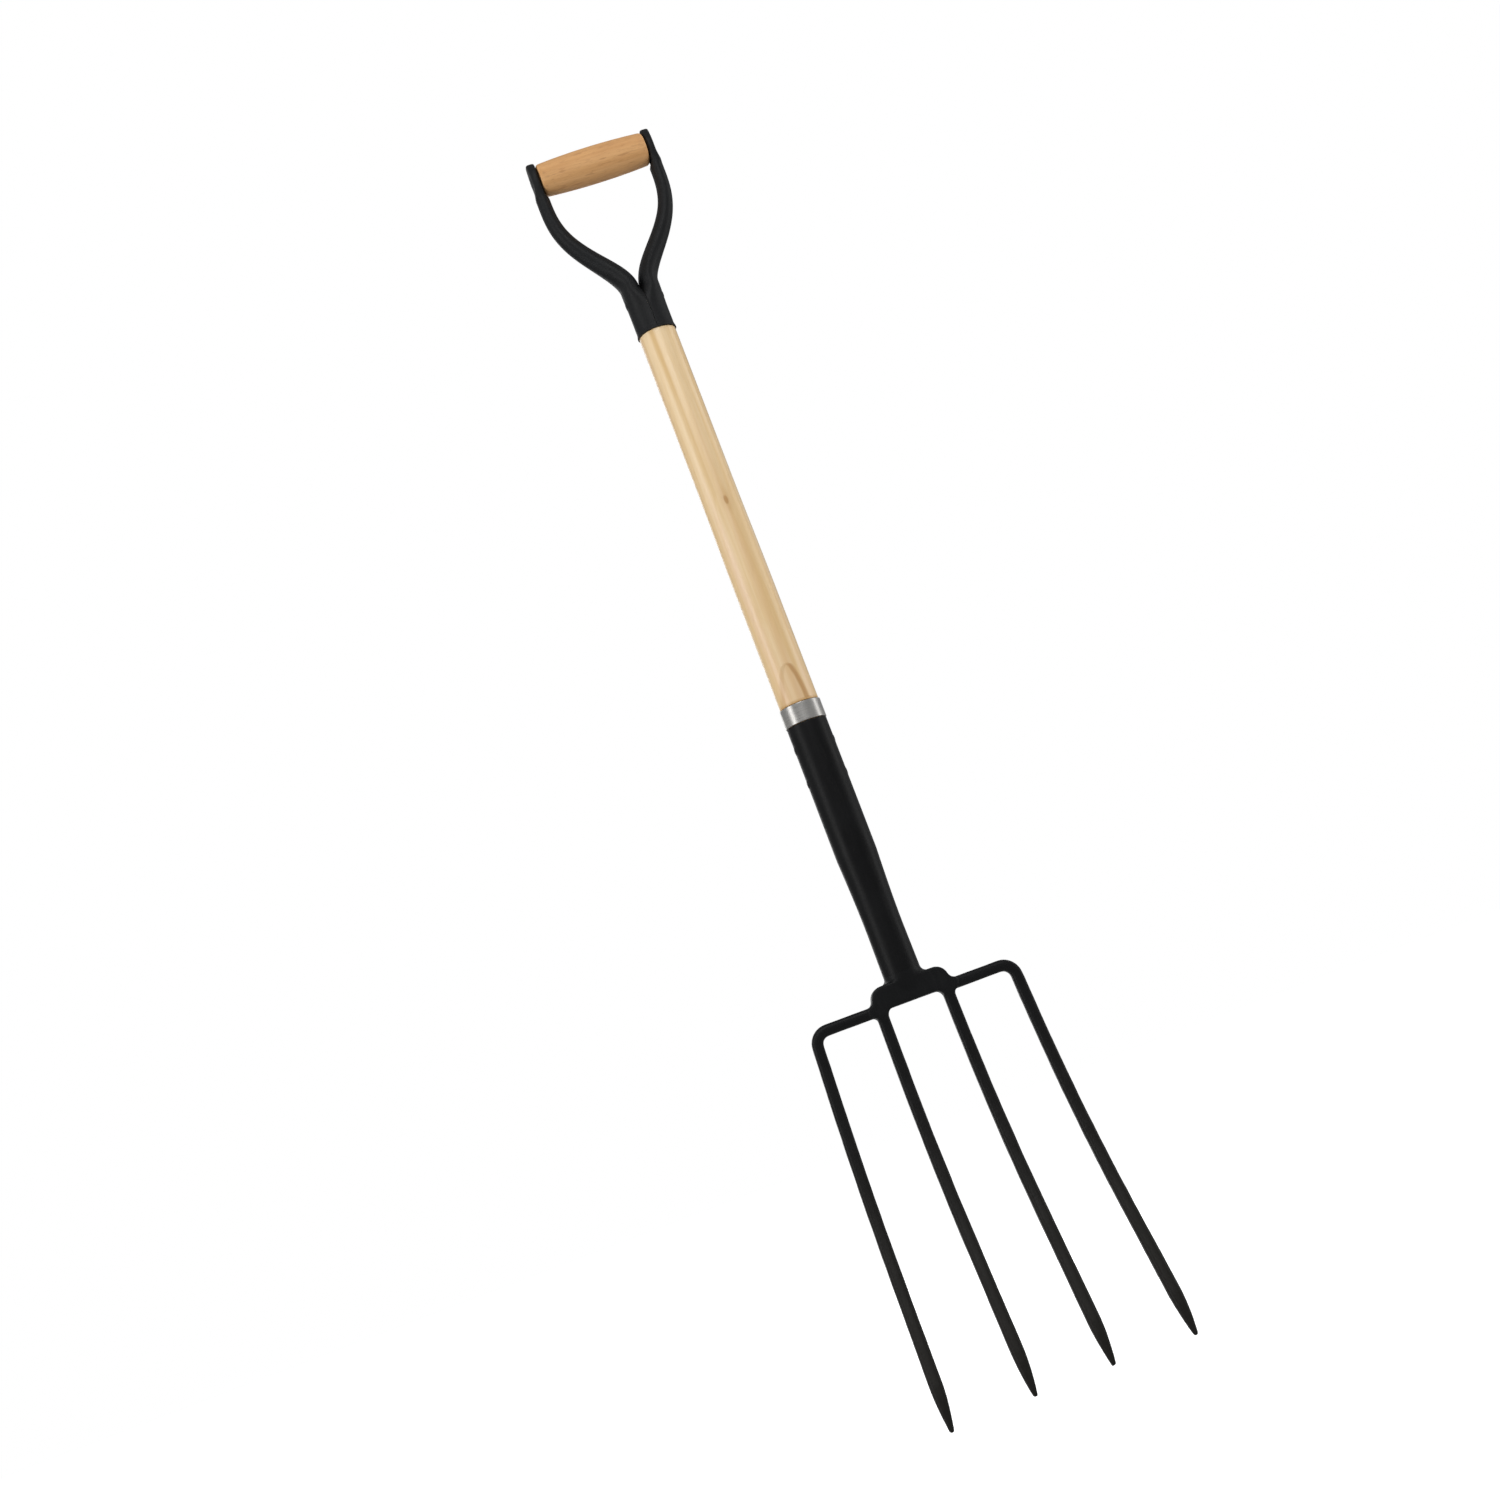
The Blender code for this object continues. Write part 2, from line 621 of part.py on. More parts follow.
def outer_path():
    bar_end = OUTER_ROOT_SPREAD - SHOULDER_RADIUS
    start = [(Vector((x, HEAD_Y, BAR_Z)), BAR_SIZE) for x in (INNER_ROOT_SPREAD, bar_end - BAR_TAPER_LENGTH)]
    for x, z in arc_points((bar_end, BAR_Z - SHOULDER_RADIUS), SHOULDER_RADIUS, 90, 0, 6):
        start.append((Vector((x, HEAD_Y, z)), blend(BAR_SIZE, TINE_ROOT_SIZE, 0.5)))
    return tine_path(OUTER_ROOT_SPREAD, OUTER_TIP_SPREAD, OUTER_TINE_LENGTH, start)


def bridge_outline():
    """Right half of the bridge seen from the front, from the top of its middle round to its underside."""
    hump_top = HEAD_TOP_Z - HUMP_DROP
    hump_x = INNER_ROOT_SPREAD - HUMP_INSET
    hump_z = hump_top - HUMP_RADIUS
    bar_top = BAR_Z + BAR_SIZE / 2 - OVERLAP
    fillet_z = bar_top + HUMP_FILLET
    rise = fillet_z - hump_z
    reach = math.sqrt((HUMP_RADIUS + HUMP_FILLET) ** 2 - rise**2)
    meet = math.degrees(math.atan2(rise, reach))
    points = [(0.0, hump_top)]
    points += arc_points((hump_x, hump_z), HUMP_RADIUS, 90, meet, 8)
    points += arc_points((hump_x + reach, fillet_z), HUMP_FILLET, 180 + meet, 270, 5)[1:]
    half_tine = TINE_ROOT_SIZE / 2 - OVERLAP
    web_z = HEAD_TOP_Z - BRIDGE_WEB_DROP
    points.append((hump_x + reach, BAR_Z))
    outside = INNER_ROOT_SPREAD + half_tine
    bar_under = BAR_Z - BAR_SIZE / 2 + OVERLAP
    points.append((outside + OUTSIDE_FILLET, bar_under))
    corner = (outside + OUTSIDE_FILLET, bar_under - OUTSIDE_FILLET)
    points += arc_points(corner, OUTSIDE_FILLET, 90, 180, 5)[1:]
    points.append((INNER_ROOT_SPREAD, bar_under - OUTSIDE_FILLET))
    inside = INNER_ROOT_SPREAD - half_tine
    points.append((INNER_ROOT_SPREAD, web_z - ROOT_FILLET))
    points += arc_points((inside - ROOT_FILLET, web_z - ROOT_FILLET), ROOT_FILLET, 0, 90, 6)
    points.append((0.0, web_z))
    return points


def make_bridge():
    half = bridge_outline()
    outline = half + [(-x, z) for x, z in reversed(half[1:-1])]
    curve = bpy.data.curves.new("bridge", "CURVE")
    curve.dimensions = "2D"
    curve.fill_mode = "BOTH"
    curve.extrude = BRIDGE_THICKNESS / 2
    spline = curve.splines.new("POLY")
    spline.points.add(len(outline) - 1)
    spline.use_cyclic_u = True
    for point, (x, z) in zip(spline.points, outline):
        point.co = (x, z, 0, 1)
    flat = bpy.data.objects.new("bridge_flat", curve)
    HELPERS.objects.link(flat)
    flat.rotation_euler = (math.radians(90), 0, 0)
    flat.location.y = HEAD_Y
    return mesh_of_curve(flat, "head")


def neck_rings():
    """The neck between the round seat of the socket and the flat bridge, with the spigot on top."""
    plate = BRIDGE_THICKNESS / 2
    spread = INNER_ROOT_SPREAD - NECK_INSET
    foot = SOCKET_FOOT_RADIUS
    spigot_top = HEAD_TOP_Z + SPIGOT_LENGTH
    stations = [
        (SPIGOT_RADIUS - TENON_CHAMFER, SPIGOT_RADIUS - TENON_CHAMFER, 0.0, spigot_top),
        (SPIGOT_RADIUS, SPIGOT_RADIUS, 0.0, spigot_top - TENON_CHAMFER),
        (SPIGOT_RADIUS, SPIGOT_RADIUS, 0.0, HEAD_TOP_Z),
        (foot, foot, 0.0, HEAD_TOP_Z),
    ]
    fillet_start = HUMP_DROP - NECK_FILLET
    drops = [fillet_start + NECK_FILLET * share for share in (0.0, 0.35, 0.65, 0.87, 1.0)]
    drops += [blend(HUMP_DROP, NECK_HEIGHT, share) for share in (0.3, 0.65, 1.0)]
    for drop in drops:
        into = min(drop - fillet_start, NECK_FILLET)
        wide = foot + NECK_FILLET - math.sqrt(NECK_FILLET**2 - into**2)
        wide = blend(wide, spread, smoothstep((drop - HUMP_DROP) / (NECK_HEIGHT - HUMP_DROP)))
        amount = smoothstep(drop / NECK_HEIGHT)
        stations.append((wide, blend(foot, plate - NECK_SINK, amount), HEAD_Y * amount, HEAD_TOP_Z - drop))
    rings = []
    for wide, deep, y, z in stations:
        ring = []
        for i in range(ROUND_SIDES):
            angle = 2 * math.pi * i / ROUND_SIDES
            ring.append((wide * math.cos(angle), y + deep * math.sin(angle), z))
        rings.append(ring)
    return rings


def make_head():
    obj = add_object("head", make_bridge(), PARTS, BLACK_STEEL)
    bevel = obj.modifiers.new("Soft edges", "BEVEL")
    bevel.width = BRIDGE_EDGE_ROUND
    bevel.segments = 2
    bevel.limit_method = "ANGLE"
    bevel.angle_limit = math.radians(60)
    boolean(obj, add_helper("head_neck", lofted("head_neck", neck_rings())), "UNION")
    for side, word in ((-1, "left"), (1, "right")):
        boolean(obj, make_tine(f"tine_inner_{word}", inner_path(), side), "UNION")
        boolean(obj, make_tine(f"tine_outer_{word}", outer_path(), side), "UNION")
    return obj


# ---------------------------------------------------------------- the fork


def seat_pair(name, radius, start_x, outer_x, z):
    """One cutter with two cylinders, for a head on each side. Each runs outwards from start_x."""
    end = outer_x + CUTTER_REACH
    right = cylinder_along_x(name, radius + GAP, start_x, end, z)
    left = cylinder_along_x(name + "_left", radius + GAP, -end, -start_x, z)
    boolean(right, left, "UNION")
    return right


def rivet_seats(name, seat_x, outer_x, z):
    """Holes right through a round wall, one on each side."""
    start = math.sqrt(seat_x**2 - (RIVET_HEAD_RADIUS + GAP) ** 2) - GAP
    return seat_pair(name, RIVET_HEAD_RADIUS, start, outer_x, z)


def cross_hole(name, radius, reach, z):
    return cylinder_along_x(name, radius + GAP, -reach - CUTTER_REACH, reach + CUTTER_REACH, z)


clear_scene()
PARTS = new_collection("digging_fork")
HELPERS = new_collection("helpers")
HELPERS.hide_render = True

GRIP_WOOD = new_material("grip_wood", (0.55, 0.31, 0.13), 0.5)
SHAFT_WOOD = new_material("shaft_wood", (0.74, 0.54, 0.31), 0.35)
BLACK_STEEL = new_material("black_steel", (0.012, 0.012, 0.013), 0.42)
BAND_STEEL = new_material("band_steel", (0.52, 0.51, 0.49), 0.32, metallic=1.0)

ROD_HOLE = cross_hole("rod_hole", ROD_RADIUS, STRAP_OUTER_X, 0)
ROD_SEATS = seat_pair("rod_seats", ROD_HEAD_RADIUS, ROD_HEAD_SEAT_X - GAP, STRAP_OUTER_X, 0)
YOKE_RIVET_OUTER_X = sum(yoke_socket_oval(YOKE_RIVET_DROP)[:2])
YOKE_RIVET_WALL_X = YOKE_RIVET_OUTER_X - YOKE_SOCKET_SHEET
YOKE_RIVET_SEAT_X = max(YOKE_RIVET_WALL_X, tenon_room(YOKE_RIVET_DROP + RIVET_HEAD_RADIUS) + GAP)
YOKE_RIVET_HOLE = cross_hole("yoke_rivet_hole", RIVET_RADIUS, YOKE_RIVET_OUTER_X, YOKE_RIVET_Z)
UPPER_RIVET_HOLE = cross_hole("upper_rivet_hole", RIVET_RADIUS, SOCKET_RADIUS, UPPER_RIVET_Z)
LOWER_RIVET_HOLE = cross_hole("lower_rivet_hole", RIVET_RADIUS, SOCKET_RADIUS, LOWER_RIVET_Z)
YOKE_RIVET_SEATS = rivet_seats("yoke_rivet_seats", YOKE_RIVET_WALL_X, YOKE_RIVET_OUTER_X, YOKE_RIVET_Z)
UPPER_RIVET_SEATS = rivet_seats("upper_rivet_seats", SOCKET_BORE_RADIUS, SOCKET_RADIUS, UPPER_RIVET_Z)
LOWER_RIVET_SEATS = rivet_seats("lower_rivet_seats", SOCKET_BORE_RADIUS, SOCKET_RADIUS, LOWER_RIVET_Z)

make_grip()
make_grip_rod()
make_yoke_half("yoke_left", -1)
make_yoke_half("yoke_right", 1)
make_rivet("yoke_rivet", YOKE_RIVET_Z, YOKE_RIVET_SEAT_X, YOKE_RIVET_OUTER_X, BLACK_STEEL)
make_shaft()
make_band()
make_socket()
make_rivet("socket_rivet_upper", UPPER_RIVET_Z, SOCKET_BORE_RADIUS, SOCKET_RADIUS, BLACK_STEEL)
make_rivet("socket_rivet_lower", LOWER_RIVET_Z, SOCKET_BORE_RADIUS, SOCKET_RADIUS, BLACK_STEEL)
make_head()
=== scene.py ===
import math

import bmesh
import bpy
from mathutils import Matrix, Vector, noise


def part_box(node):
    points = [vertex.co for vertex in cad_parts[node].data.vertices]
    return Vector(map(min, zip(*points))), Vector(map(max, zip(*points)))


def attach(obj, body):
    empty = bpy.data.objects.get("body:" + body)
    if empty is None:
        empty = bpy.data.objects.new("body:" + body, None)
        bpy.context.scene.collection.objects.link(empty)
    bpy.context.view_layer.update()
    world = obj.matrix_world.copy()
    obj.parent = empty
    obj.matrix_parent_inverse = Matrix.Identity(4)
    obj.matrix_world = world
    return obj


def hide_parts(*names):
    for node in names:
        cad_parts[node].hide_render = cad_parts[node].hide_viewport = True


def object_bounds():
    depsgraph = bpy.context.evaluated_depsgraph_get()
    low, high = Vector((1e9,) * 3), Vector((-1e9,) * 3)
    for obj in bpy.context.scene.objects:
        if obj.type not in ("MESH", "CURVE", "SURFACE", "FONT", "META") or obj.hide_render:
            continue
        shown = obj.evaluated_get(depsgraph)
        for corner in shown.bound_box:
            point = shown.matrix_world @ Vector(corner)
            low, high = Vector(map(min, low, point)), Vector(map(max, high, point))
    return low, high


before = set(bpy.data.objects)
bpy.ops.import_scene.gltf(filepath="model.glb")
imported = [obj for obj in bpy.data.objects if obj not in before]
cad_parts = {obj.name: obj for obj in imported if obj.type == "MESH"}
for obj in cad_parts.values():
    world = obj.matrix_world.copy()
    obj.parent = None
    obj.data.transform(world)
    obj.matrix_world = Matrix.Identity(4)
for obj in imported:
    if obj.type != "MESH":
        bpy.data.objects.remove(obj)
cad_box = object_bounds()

# Sizes are in metres. Z runs up the shaft, X runs along the grip bar, and -Y is the fork's front.

BOXES = {name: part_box(name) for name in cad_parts}
GAP = 0.0003

# ---- Finish of the turned and pressed pieces ----
TURNED_SIDES = 128
RIVET_SIDES = 64
FILLET_STEPS = 6
MERGE = 0.000001
SHARP_ANGLE = math.radians(50)

# ---- Yoke: two pressed halves ----
YOKE_SHEET = 0.0016
SHEET_MOST = 0.76
STRAP_ABOVE_GRIP = 0.0026
STRAP_HALF_WIDTH = 0.0110
STRAP_RIM_ROUND = 0.0022
STRAP_RIM_THINNING = 0.8
STRAP_SQUARENESS = 0.55
ROD_HEAD_PROUD = 0.0004
ARM_STEP_IN = 0.0024
ARM_TURN_HEIGHT = 0.0043
ARM_HALF_WIDTH = 0.0085
ARM_TOP_THICKNESS = 0.0112
ARM_FOOT_THICKNESS = 0.0160
ARM_FLARE_DROP = 0.0740
ARM_SWEEP_SKEW = 1.52
CROTCH_DROP = 0.1134
VALLEY_LENGTH = 0.0240
LIP_HEIGHT = 0.0042
LIP_FLARE = 0.0007
SEAM_ANGLE = math.radians(10)
YOKE_AROUND = 56
YOKE_ALONG = 170

# ---- Yoke: places that follow from the frame ----
STRAP_INNER_X = BOXES["hand_grip"][1].x + GAP
STRAP_OUTER_X = BOXES["grip_rod"][1].x - ROD_HEAD_PROUD
ROD_HEAD_RADIUS = BOXES["grip_rod"][1].z
GRIP_END_RADIUS = BOXES["yoke_left"][1].z - STRAP_ABOVE_GRIP
STRAP_END_DROP = GRIP_END_RADIUS + GAP
ARM_START_DROP = STRAP_END_DROP + ARM_TURN_HEIGHT
YOKE_SOCKET_RADIUS = BOXES["yoke_left"][1].y - LIP_FLARE

# ---- Shaft ----
SHAFT_TOP_SLIMMER = 0.0006
YOKE_TENON_RADIUS = 0.0140
SOCKET_TENON_RADIUS = 0.01445
NOSE_RADIUS = 0.0060
NOSE_DROP = 0.0040
NOSE_LENGTH = 0.0123
SWELL_DROP = 0.130
SWELL_LENGTH = 0.100
BAND_REBATE = 0.0008

# ---- Band and socket ----
BAND_SHEET = 0.0011
BAND_RIM = 0.0005
BAND_HOLLOW = 0.00005
SOCKET_WALL = 0.0016
SOCKET_STRAIGHT = 0.1105
SOCKET_DRAWN = 0.0620
NECK_RADIUS = 0.01455
FOOT_RADIUS = 0.01485
FOOT_WALL = 0.0022
FOOT_SKIRT = 0.0020

# ---- Head: one forging ----
HEAD_VOXEL = 0.00085
HEAD_SMOOTHING = 14
FORGED_UNEVENNESS = 0.00016
FORGED_SCALE = 55.0

# ---- Marks in the shaft's grain. A drop is measured down from the grip bar's axis. ----
# A fade is the distance at which a mark has gone, and then the one at which it is full.
KNOT_DROP = 0.3087
KNOT_X = 0.0014
KNOT_STRETCH = 0.42
KNOT_WOBBLE = 0.0012
KNOT_SPOT_FADE = (0.0028, 0.0018)
KNOT_SPOT_DARKNESS = 0.80
KNOT_SHADE_FADE = (0.0065, 0.0016)
KNOT_SHADE_DARKNESS = 0.26
ARCH_TIP_DROP = 0.4504
ARCH_LENGTH = 0.03
ARCH_TIP_X = -0.0012
ARCH_FOOT_X = -0.0038
ARCH_SPREAD = 0.050
ARCH_WOBBLE = 0.0016
ARCH_LINE_FADE = (0.0028, 0.0009)
ARCH_LEFT_DARKNESS = 0.36
ARCH_RIGHT_DARKNESS = 0.80
ARCH_INSIDE_DARKNESS = 0.12
MARKS_FRONT_FADE = 0.004

# ---- Paint ----
CLOUD_LIGHTENING = 1.7
SCUFF_TINT = (0.05, 0.048, 0.045)
# Painted light on the forging: its lighter tint starts this far below the head's top and is full this far
# above its foot.
PAINTED_LIGHT_TOP = 0.06
PAINTED_LIGHT_FOOT = 0.08

# ---- Camera: its place, and its heading, tilt and roll in degrees ----
CAMERA_PLACE = (-0.2938, -1.7556, -0.7991)
CAMERA_TURNS = ((-7.93, "Z"), (90 + 9.50, "X"), (-20.69, "Z"))
CAMERA_LENS_MM = 55.2
CAMERA_FILM_MM = 36.0


# ---------------------------------------------------------------- shape helpers


def smoothstep(value):
    value = min(max(value, 0.0), 1.0)
    return value * value * (3 - 2 * value)


def blend(start, end, amount):
    return start + (end - start) * amount


def mirrored(points):
    """The same profile turned end for end, to follow on from its first half."""
    return [(radius, -height, *arc) for radius, height, *arc in reversed(points)]


def rounded(points):
    """A profile whose corners are arcs. A point is (radius, height), or (radius, height, arc's size)."""
    line = [Vector(point[:2]) for point in points]
    result = []
    for i, point in enumerate(points):
        size = point[2] if len(point) > 2 else 0.0
        if size == 0.0 or i in (0, len(points) - 1):
            result.append(line[i])
            continue
        before = (line[i - 1] - line[i]).normalized() * size
        after = (line[i + 1] - line[i]).normalized() * size
        for step in range(FILLET_STEPS + 1):
            amount = step / FILLET_STEPS
            result.append(line[i] + before * (1 - amount) ** 2 + after * amount**2)
    return result


def finished(name, shape, material, slot, *nodes):
    """Makes the object of a finished shape. It rides on the tool's one body and stands for its CAD nodes."""
    bmesh.ops.remove_doubles(shape, verts=shape.verts, dist=MERGE)
    bmesh.ops.recalc_face_normals(shape, faces=shape.faces)
    mesh = bpy.data.meshes.new(name)
    shape.to_mesh(mesh)
    shape.free()
    mesh.materials.append(material)
    mesh.shade_smooth()
    mesh.set_sharp_from_angle(angle=SHARP_ANGLE)
    obj = bpy.data.objects.new(name, mesh)
    bpy.context.scene.collection.objects.link(obj)
    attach(obj, "root")
    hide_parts(*nodes)


def turned(profile, sides=TURNED_SIDES, ring=False):
    """A body turned about Z. Its profile starts and ends on the axis, or closes on itself for a ring."""
    shape = bmesh.new()
    line = [shape.verts.new((radius, 0, height)) for radius, height in profile]
    edges = [shape.edges.new(pair) for pair in zip(line, line[1:])]
    if ring:
        edges.append(shape.edges.new((line[-1], line[0])))
    bmesh.ops.spin(
        shape, geom=line + edges, axis=(0, 0, 1), cent=(0, 0, 0), angle=2 * math.pi, steps=sides
    )
    bmesh.ops.remove_doubles(shape, verts=shape.verts, dist=MERGE)
    return shape


def laid_along_x(shape, height=0.0):
    turn = Matrix.Translation((0, 0, height)) @ Matrix.Rotation(math.pi / 2, 4, "Y")
    bmesh.ops.transform(shape, matrix=turn, verts=shape.verts)
    return shape


def lofted(rings):
    """A closed body through rings of the same number of points, with a flat face on each end."""
    shape = bmesh.new()
    loops = [[shape.verts.new(point) for point in ring] for ring in rings]
    for low, high in zip(loops, loops[1:]):
        for i in range(len(low)):
            j = (i + 1) % len(low)
            shape.faces.new((low[i], low[j], high[j], high[i]))
    shape.faces.new(loops[0][::-1])
    shape.faces.new(loops[-1])
    return shape


# ---------------------------------------------------------------- shader helpers


def feed(tree, socket, value):
    """Links the socket to another node's output, or sets it to a plain value."""
    if isinstance(value, bpy.types.NodeSocket):
        tree.links.new(value, socket)
    else:
        socket.default_value = value


def add_node(tree, kind, inputs=None, **settings):
    node = tree.nodes.new(kind)
    for key, value in settings.items():
        setattr(node, key, value)
    for key, value in (inputs or {}).items():
        feed(tree, node.inputs[key], value)
    return node


def object_coords(tree):
    return add_node(tree, "ShaderNodeTexCoord").outputs["Object"]


def axes_of(tree, vector):
    return add_node(tree, "ShaderNodeSeparateXYZ", {0: vector}).outputs


def maths(tree, operation, *values):
    return add_node(tree, "ShaderNodeMath", dict(enumerate(values)), operation=operation).outputs[0]


def length_of(tree, across, along):
    squares = [maths(tree, "POWER", value, 2.0) for value in (across, along)]
    return maths(tree, "SQRT", maths(tree, "ADD", *squares))


def remap(tree, value, low, high, to_low=0.0, to_high=1.0):
    inputs = {"Value": value, "From Min": low, "From Max": high, "To Min": to_low, "To Max": to_high}
    return add_node(tree, "ShaderNodeMapRange", inputs).outputs[0]


def noise_of(tree, vector, scale, detail=2.0, roughness=0.5):
    inputs = {"Vector": vector, "Scale": scale, "Detail": detail, "Roughness": roughness}
    return add_node(tree, "ShaderNodeTexNoise", inputs).outputs[0]


def streaks(tree, vector, scales, detail=2.0, roughness=0.5):
    """Noise with its own scale along each of X, Y and Z: a small one draws it out along that axis."""
    inputs = {"Vector": vector, "Scale": scales}
    drawn_out = add_node(tree, "ShaderNodeMapping", inputs, vector_type="POINT").outputs[0]
    return noise_of(tree, drawn_out, 1.0, detail, roughness)


def tinted(tree, amount, under, over):
    """One colour laid over another by an amount from 0 to 1. A colour is (r, g, b) or a node's output."""
    node = add_node(tree, "ShaderNodeMix", {"Factor": amount}, data_type="RGBA", blend_type="MIX")
    # The node has sockets for each kind of data. Those for colour are inputs 6 and 7, and output 2.
    for socket, colour in zip(node.inputs[6:8], (under, over)):
        feed(tree, socket, colour if isinstance(colour, bpy.types.NodeSocket) else (*colour, 1.0))
    return node.outputs[2]


def new_group(name, numbers, outputs):
    """An empty node group: a vector and numbers with defaults go in, and numbers come out."""
    tree = bpy.data.node_groups.new(name, "ShaderNodeTree")
    tree.interface.new_socket("Vector", in_out="INPUT", socket_type="NodeSocketVector")
    for label, default in numbers.items():
        socket = tree.interface.new_socket(label, in_out="INPUT", socket_type="NodeSocketFloat")
        socket.default_value = default
    for label in outputs:
        tree.interface.new_socket(label, in_out="OUTPUT", socket_type="NodeSocketFloat")
    return tree, tree.nodes.new("NodeGroupInput").outputs, tree.nodes.new("NodeGroupOutput")


def put_out(tree, out, values):
    for label, value in values.items():
        tree.links.new(value, out.inputs[label])


def use_group(tree, group, inputs):
    node = tree.nodes.new("ShaderNodeGroup")
    node.node_tree = group
    for key, value in inputs.items():
        feed(tree, node.inputs[key], value)
    return node.outputs


def new_material(name, **constants):
    """A material with its Principled BSDF, whose constant values are set on the shader itself."""
    material = bpy.data.materials.new(name)
    material.use_nodes = True
    tree = material.node_tree
    shader = tree.nodes["Principled BSDF"]
    for key, value in constants.items():
        shader.inputs[key.replace("_", " ")].default_value = value
    return material, tree, shader


def bump(tree, shader, height, strength, distance):
    inputs = {"Height": height, "Strength": strength, "Distance": distance}
    tree.links.new(add_node(tree, "ShaderNodeBump", inputs).outputs[0], shader.inputs["Normal"])


# ---------------------------------------------------------------- shared effects


def make_timber_group():
    """Grain of a piece cut lengthwise along Z, with the tree's pith outside it and leaning a little."""
    tree, given, out = new_group(
        "timber_grain",
        {"Ring Spacing": 0.0030, "Pith X": 0.010, "Pith Y": 0.045, "Lean": 0.02, "Waviness": 0.6},
        ("Late Wood", "Band", "Fibre", "Pore", "Height"),
    )
    vector = given["Vector"]
    x, y, z = axes_of(tree, vector)
    across = maths(tree, "SUBTRACT", x, given["Pith X"])
    lean = maths(tree, "MULTIPLY", z, given["Lean"])
    deep = maths(tree, "ADD", maths(tree, "SUBTRACT", y, given["Pith Y"]), lean)
    wander = maths(tree, "SUBTRACT", streaks(tree, vector, (60, 60, 7)), 0.5)
    waves = maths(tree, "MULTIPLY", given["Waviness"], 4.0)
    count = maths(tree, "DIVIDE", length_of(tree, across, deep), given["Ring Spacing"])
    ring = maths(tree, "FRACT", maths(tree, "MULTIPLY_ADD", wander, waves, count))
    late = maths(tree, "MULTIPLY", remap(tree, ring, 0.45, 0.92), remap(tree, ring, 1.0, 0.94))
    fibre = streaks(tree, vector, (1500, 1500, 45), detail=4.0, roughness=0.6)
    pore = remap(tree, streaks(tree, vector, (2600, 2600, 160), detail=1.0), 0.63, 0.72)
    put_out(tree, out, {
        "Late Wood": late,
        "Band": streaks(tree, vector, (150, 150, 4), detail=3.0),
        "Fibre": fibre,
        "Pore": pore,
        "Height": maths(tree, "SUBTRACT", maths(tree, "MULTIPLY", fibre, 0.5), pore),
    })
    return tree


def make_paint_group():
    """Skin of sprayed paint: orange peel, faint clouding, a few dust nibs and scuffs."""
    tree, given, out = new_group("sprayed_skin", {"Peel Scale": 900.0}, ("Cloud", "Scuff", "Height"))
    vector = given["Vector"]
    peel = noise_of(tree, vector, given["Peel Scale"])
    nibs = remap(tree, noise_of(tree, vector, 2100.0, detail=0.0), 0.70, 0.80)
    put_out(tree, out, {
        "Cloud": noise_of(tree, vector, 38.0, detail=3.0),
        "Scuff": remap(tree, streaks(tree, vector, (260, 260, 40), detail=4.0), 0.56, 0.74),
        "Height": maths(tree, "MULTIPLY_ADD", nibs, 0.6, peel),
    })
    return tree


TIMBER_GRAIN = make_timber_group()
SPRAYED_SKIN = make_paint_group()


# ---------------------------------------------------------------- materials


def make_shaft_wood():
    """Pale wood under satin varnish, with soft bands, a small knot and an arch of grain near the band."""
    material, tree, shader = new_material(
        "varnished_shaft_wood", Coat_Weight=0.8, Coat_Roughness=0.24, Specular_IOR_Level=0.4
    )
    pale, amber, rose = (0.79, 0.60, 0.36), (0.69, 0.47, 0.22), (0.76, 0.55, 0.41)
    dark, mark = (0.50, 0.29, 0.10), (0.44, 0.23, 0.075)
    coords = object_coords(tree)
    grain = use_group(tree, TIMBER_GRAIN, {
        "Vector": coords, "Ring Spacing": 0.0042, "Lean": 0.035, "Pith Y": 0.036, "Waviness": 0.45,
    })
    colour = tinted(tree, remap(tree, grain["Band"], 0.40, 0.66), pale, amber)
    rose_field = streaks(tree, coords, (70, 70, 3), detail=1.0)
    colour = tinted(tree, remap(tree, rose_field, 0.50, 0.70, to_high=0.6), colour, rose)
    colour = tinted(tree, remap(tree, grain["Late Wood"], 0.0, 1.0, to_high=0.22), colour, amber)
    colour = tinted(tree, remap(tree, grain["Fibre"], 0.35, 0.75, to_low=0.10, to_high=0.0), colour, dark)
    colour = tinted(tree, make_grain_marks(tree, coords), colour, mark)
    # painted shade: a thin dark line just above the band, where the wood meets it
    colour = tinted(tree, make_painted_shade_above_band(tree, coords), colour, dark)
    tree.links.new(colour, shader.inputs["Base Color"])
    tree.links.new(remap(tree, grain["Fibre"], 0.3, 0.7, 0.38, 0.50), shader.inputs["Roughness"])
    bump(tree, shader, grain["Height"], strength=0.12, distance=0.0001)
    return material


def make_painted_shade_above_band(tree, coords):
    """Darkness of the thin line just above the band: painted shade where the wood meets the band."""
    band_top = BOXES["band"][1].z
    height = axes_of(tree, coords)[2]
    return remap(tree, height, band_top + 0.0030, band_top + 0.0010, to_high=0.8)


def make_grain_marks(tree, coords):
    """Darkness of the knot and of the pointed arch of grain, both on the front of the shaft."""
    x, y, z = axes_of(tree, coords)
    wobble = streaks(tree, coords, (260, 260, 60))
    marks = maths(tree, "MAXIMUM", make_knot(tree, x, z, wobble), make_arch(tree, x, z, wobble))
    return maths(tree, "MULTIPLY", marks, remap(tree, y, 0.0, -MARKS_FRONT_FADE))


def make_knot(tree, x, z, wobble):
    """A small dark spot inside a wider soft shade, both drawn out along the shaft."""
    across = maths(tree, "SUBTRACT", x, KNOT_X)
    along = maths(tree, "MULTIPLY", maths(tree, "ADD", z, KNOT_DROP), KNOT_STRETCH)
    reach = maths(tree, "MULTIPLY_ADD", wobble, KNOT_WOBBLE, length_of(tree, across, along))
    spot = remap(tree, reach, *KNOT_SPOT_FADE, to_high=KNOT_SPOT_DARKNESS)
    shade = remap(tree, reach, *KNOT_SHADE_FADE, to_high=KNOT_SHADE_DARKNESS)
    return maths(tree, "MAXIMUM", spot, shade)


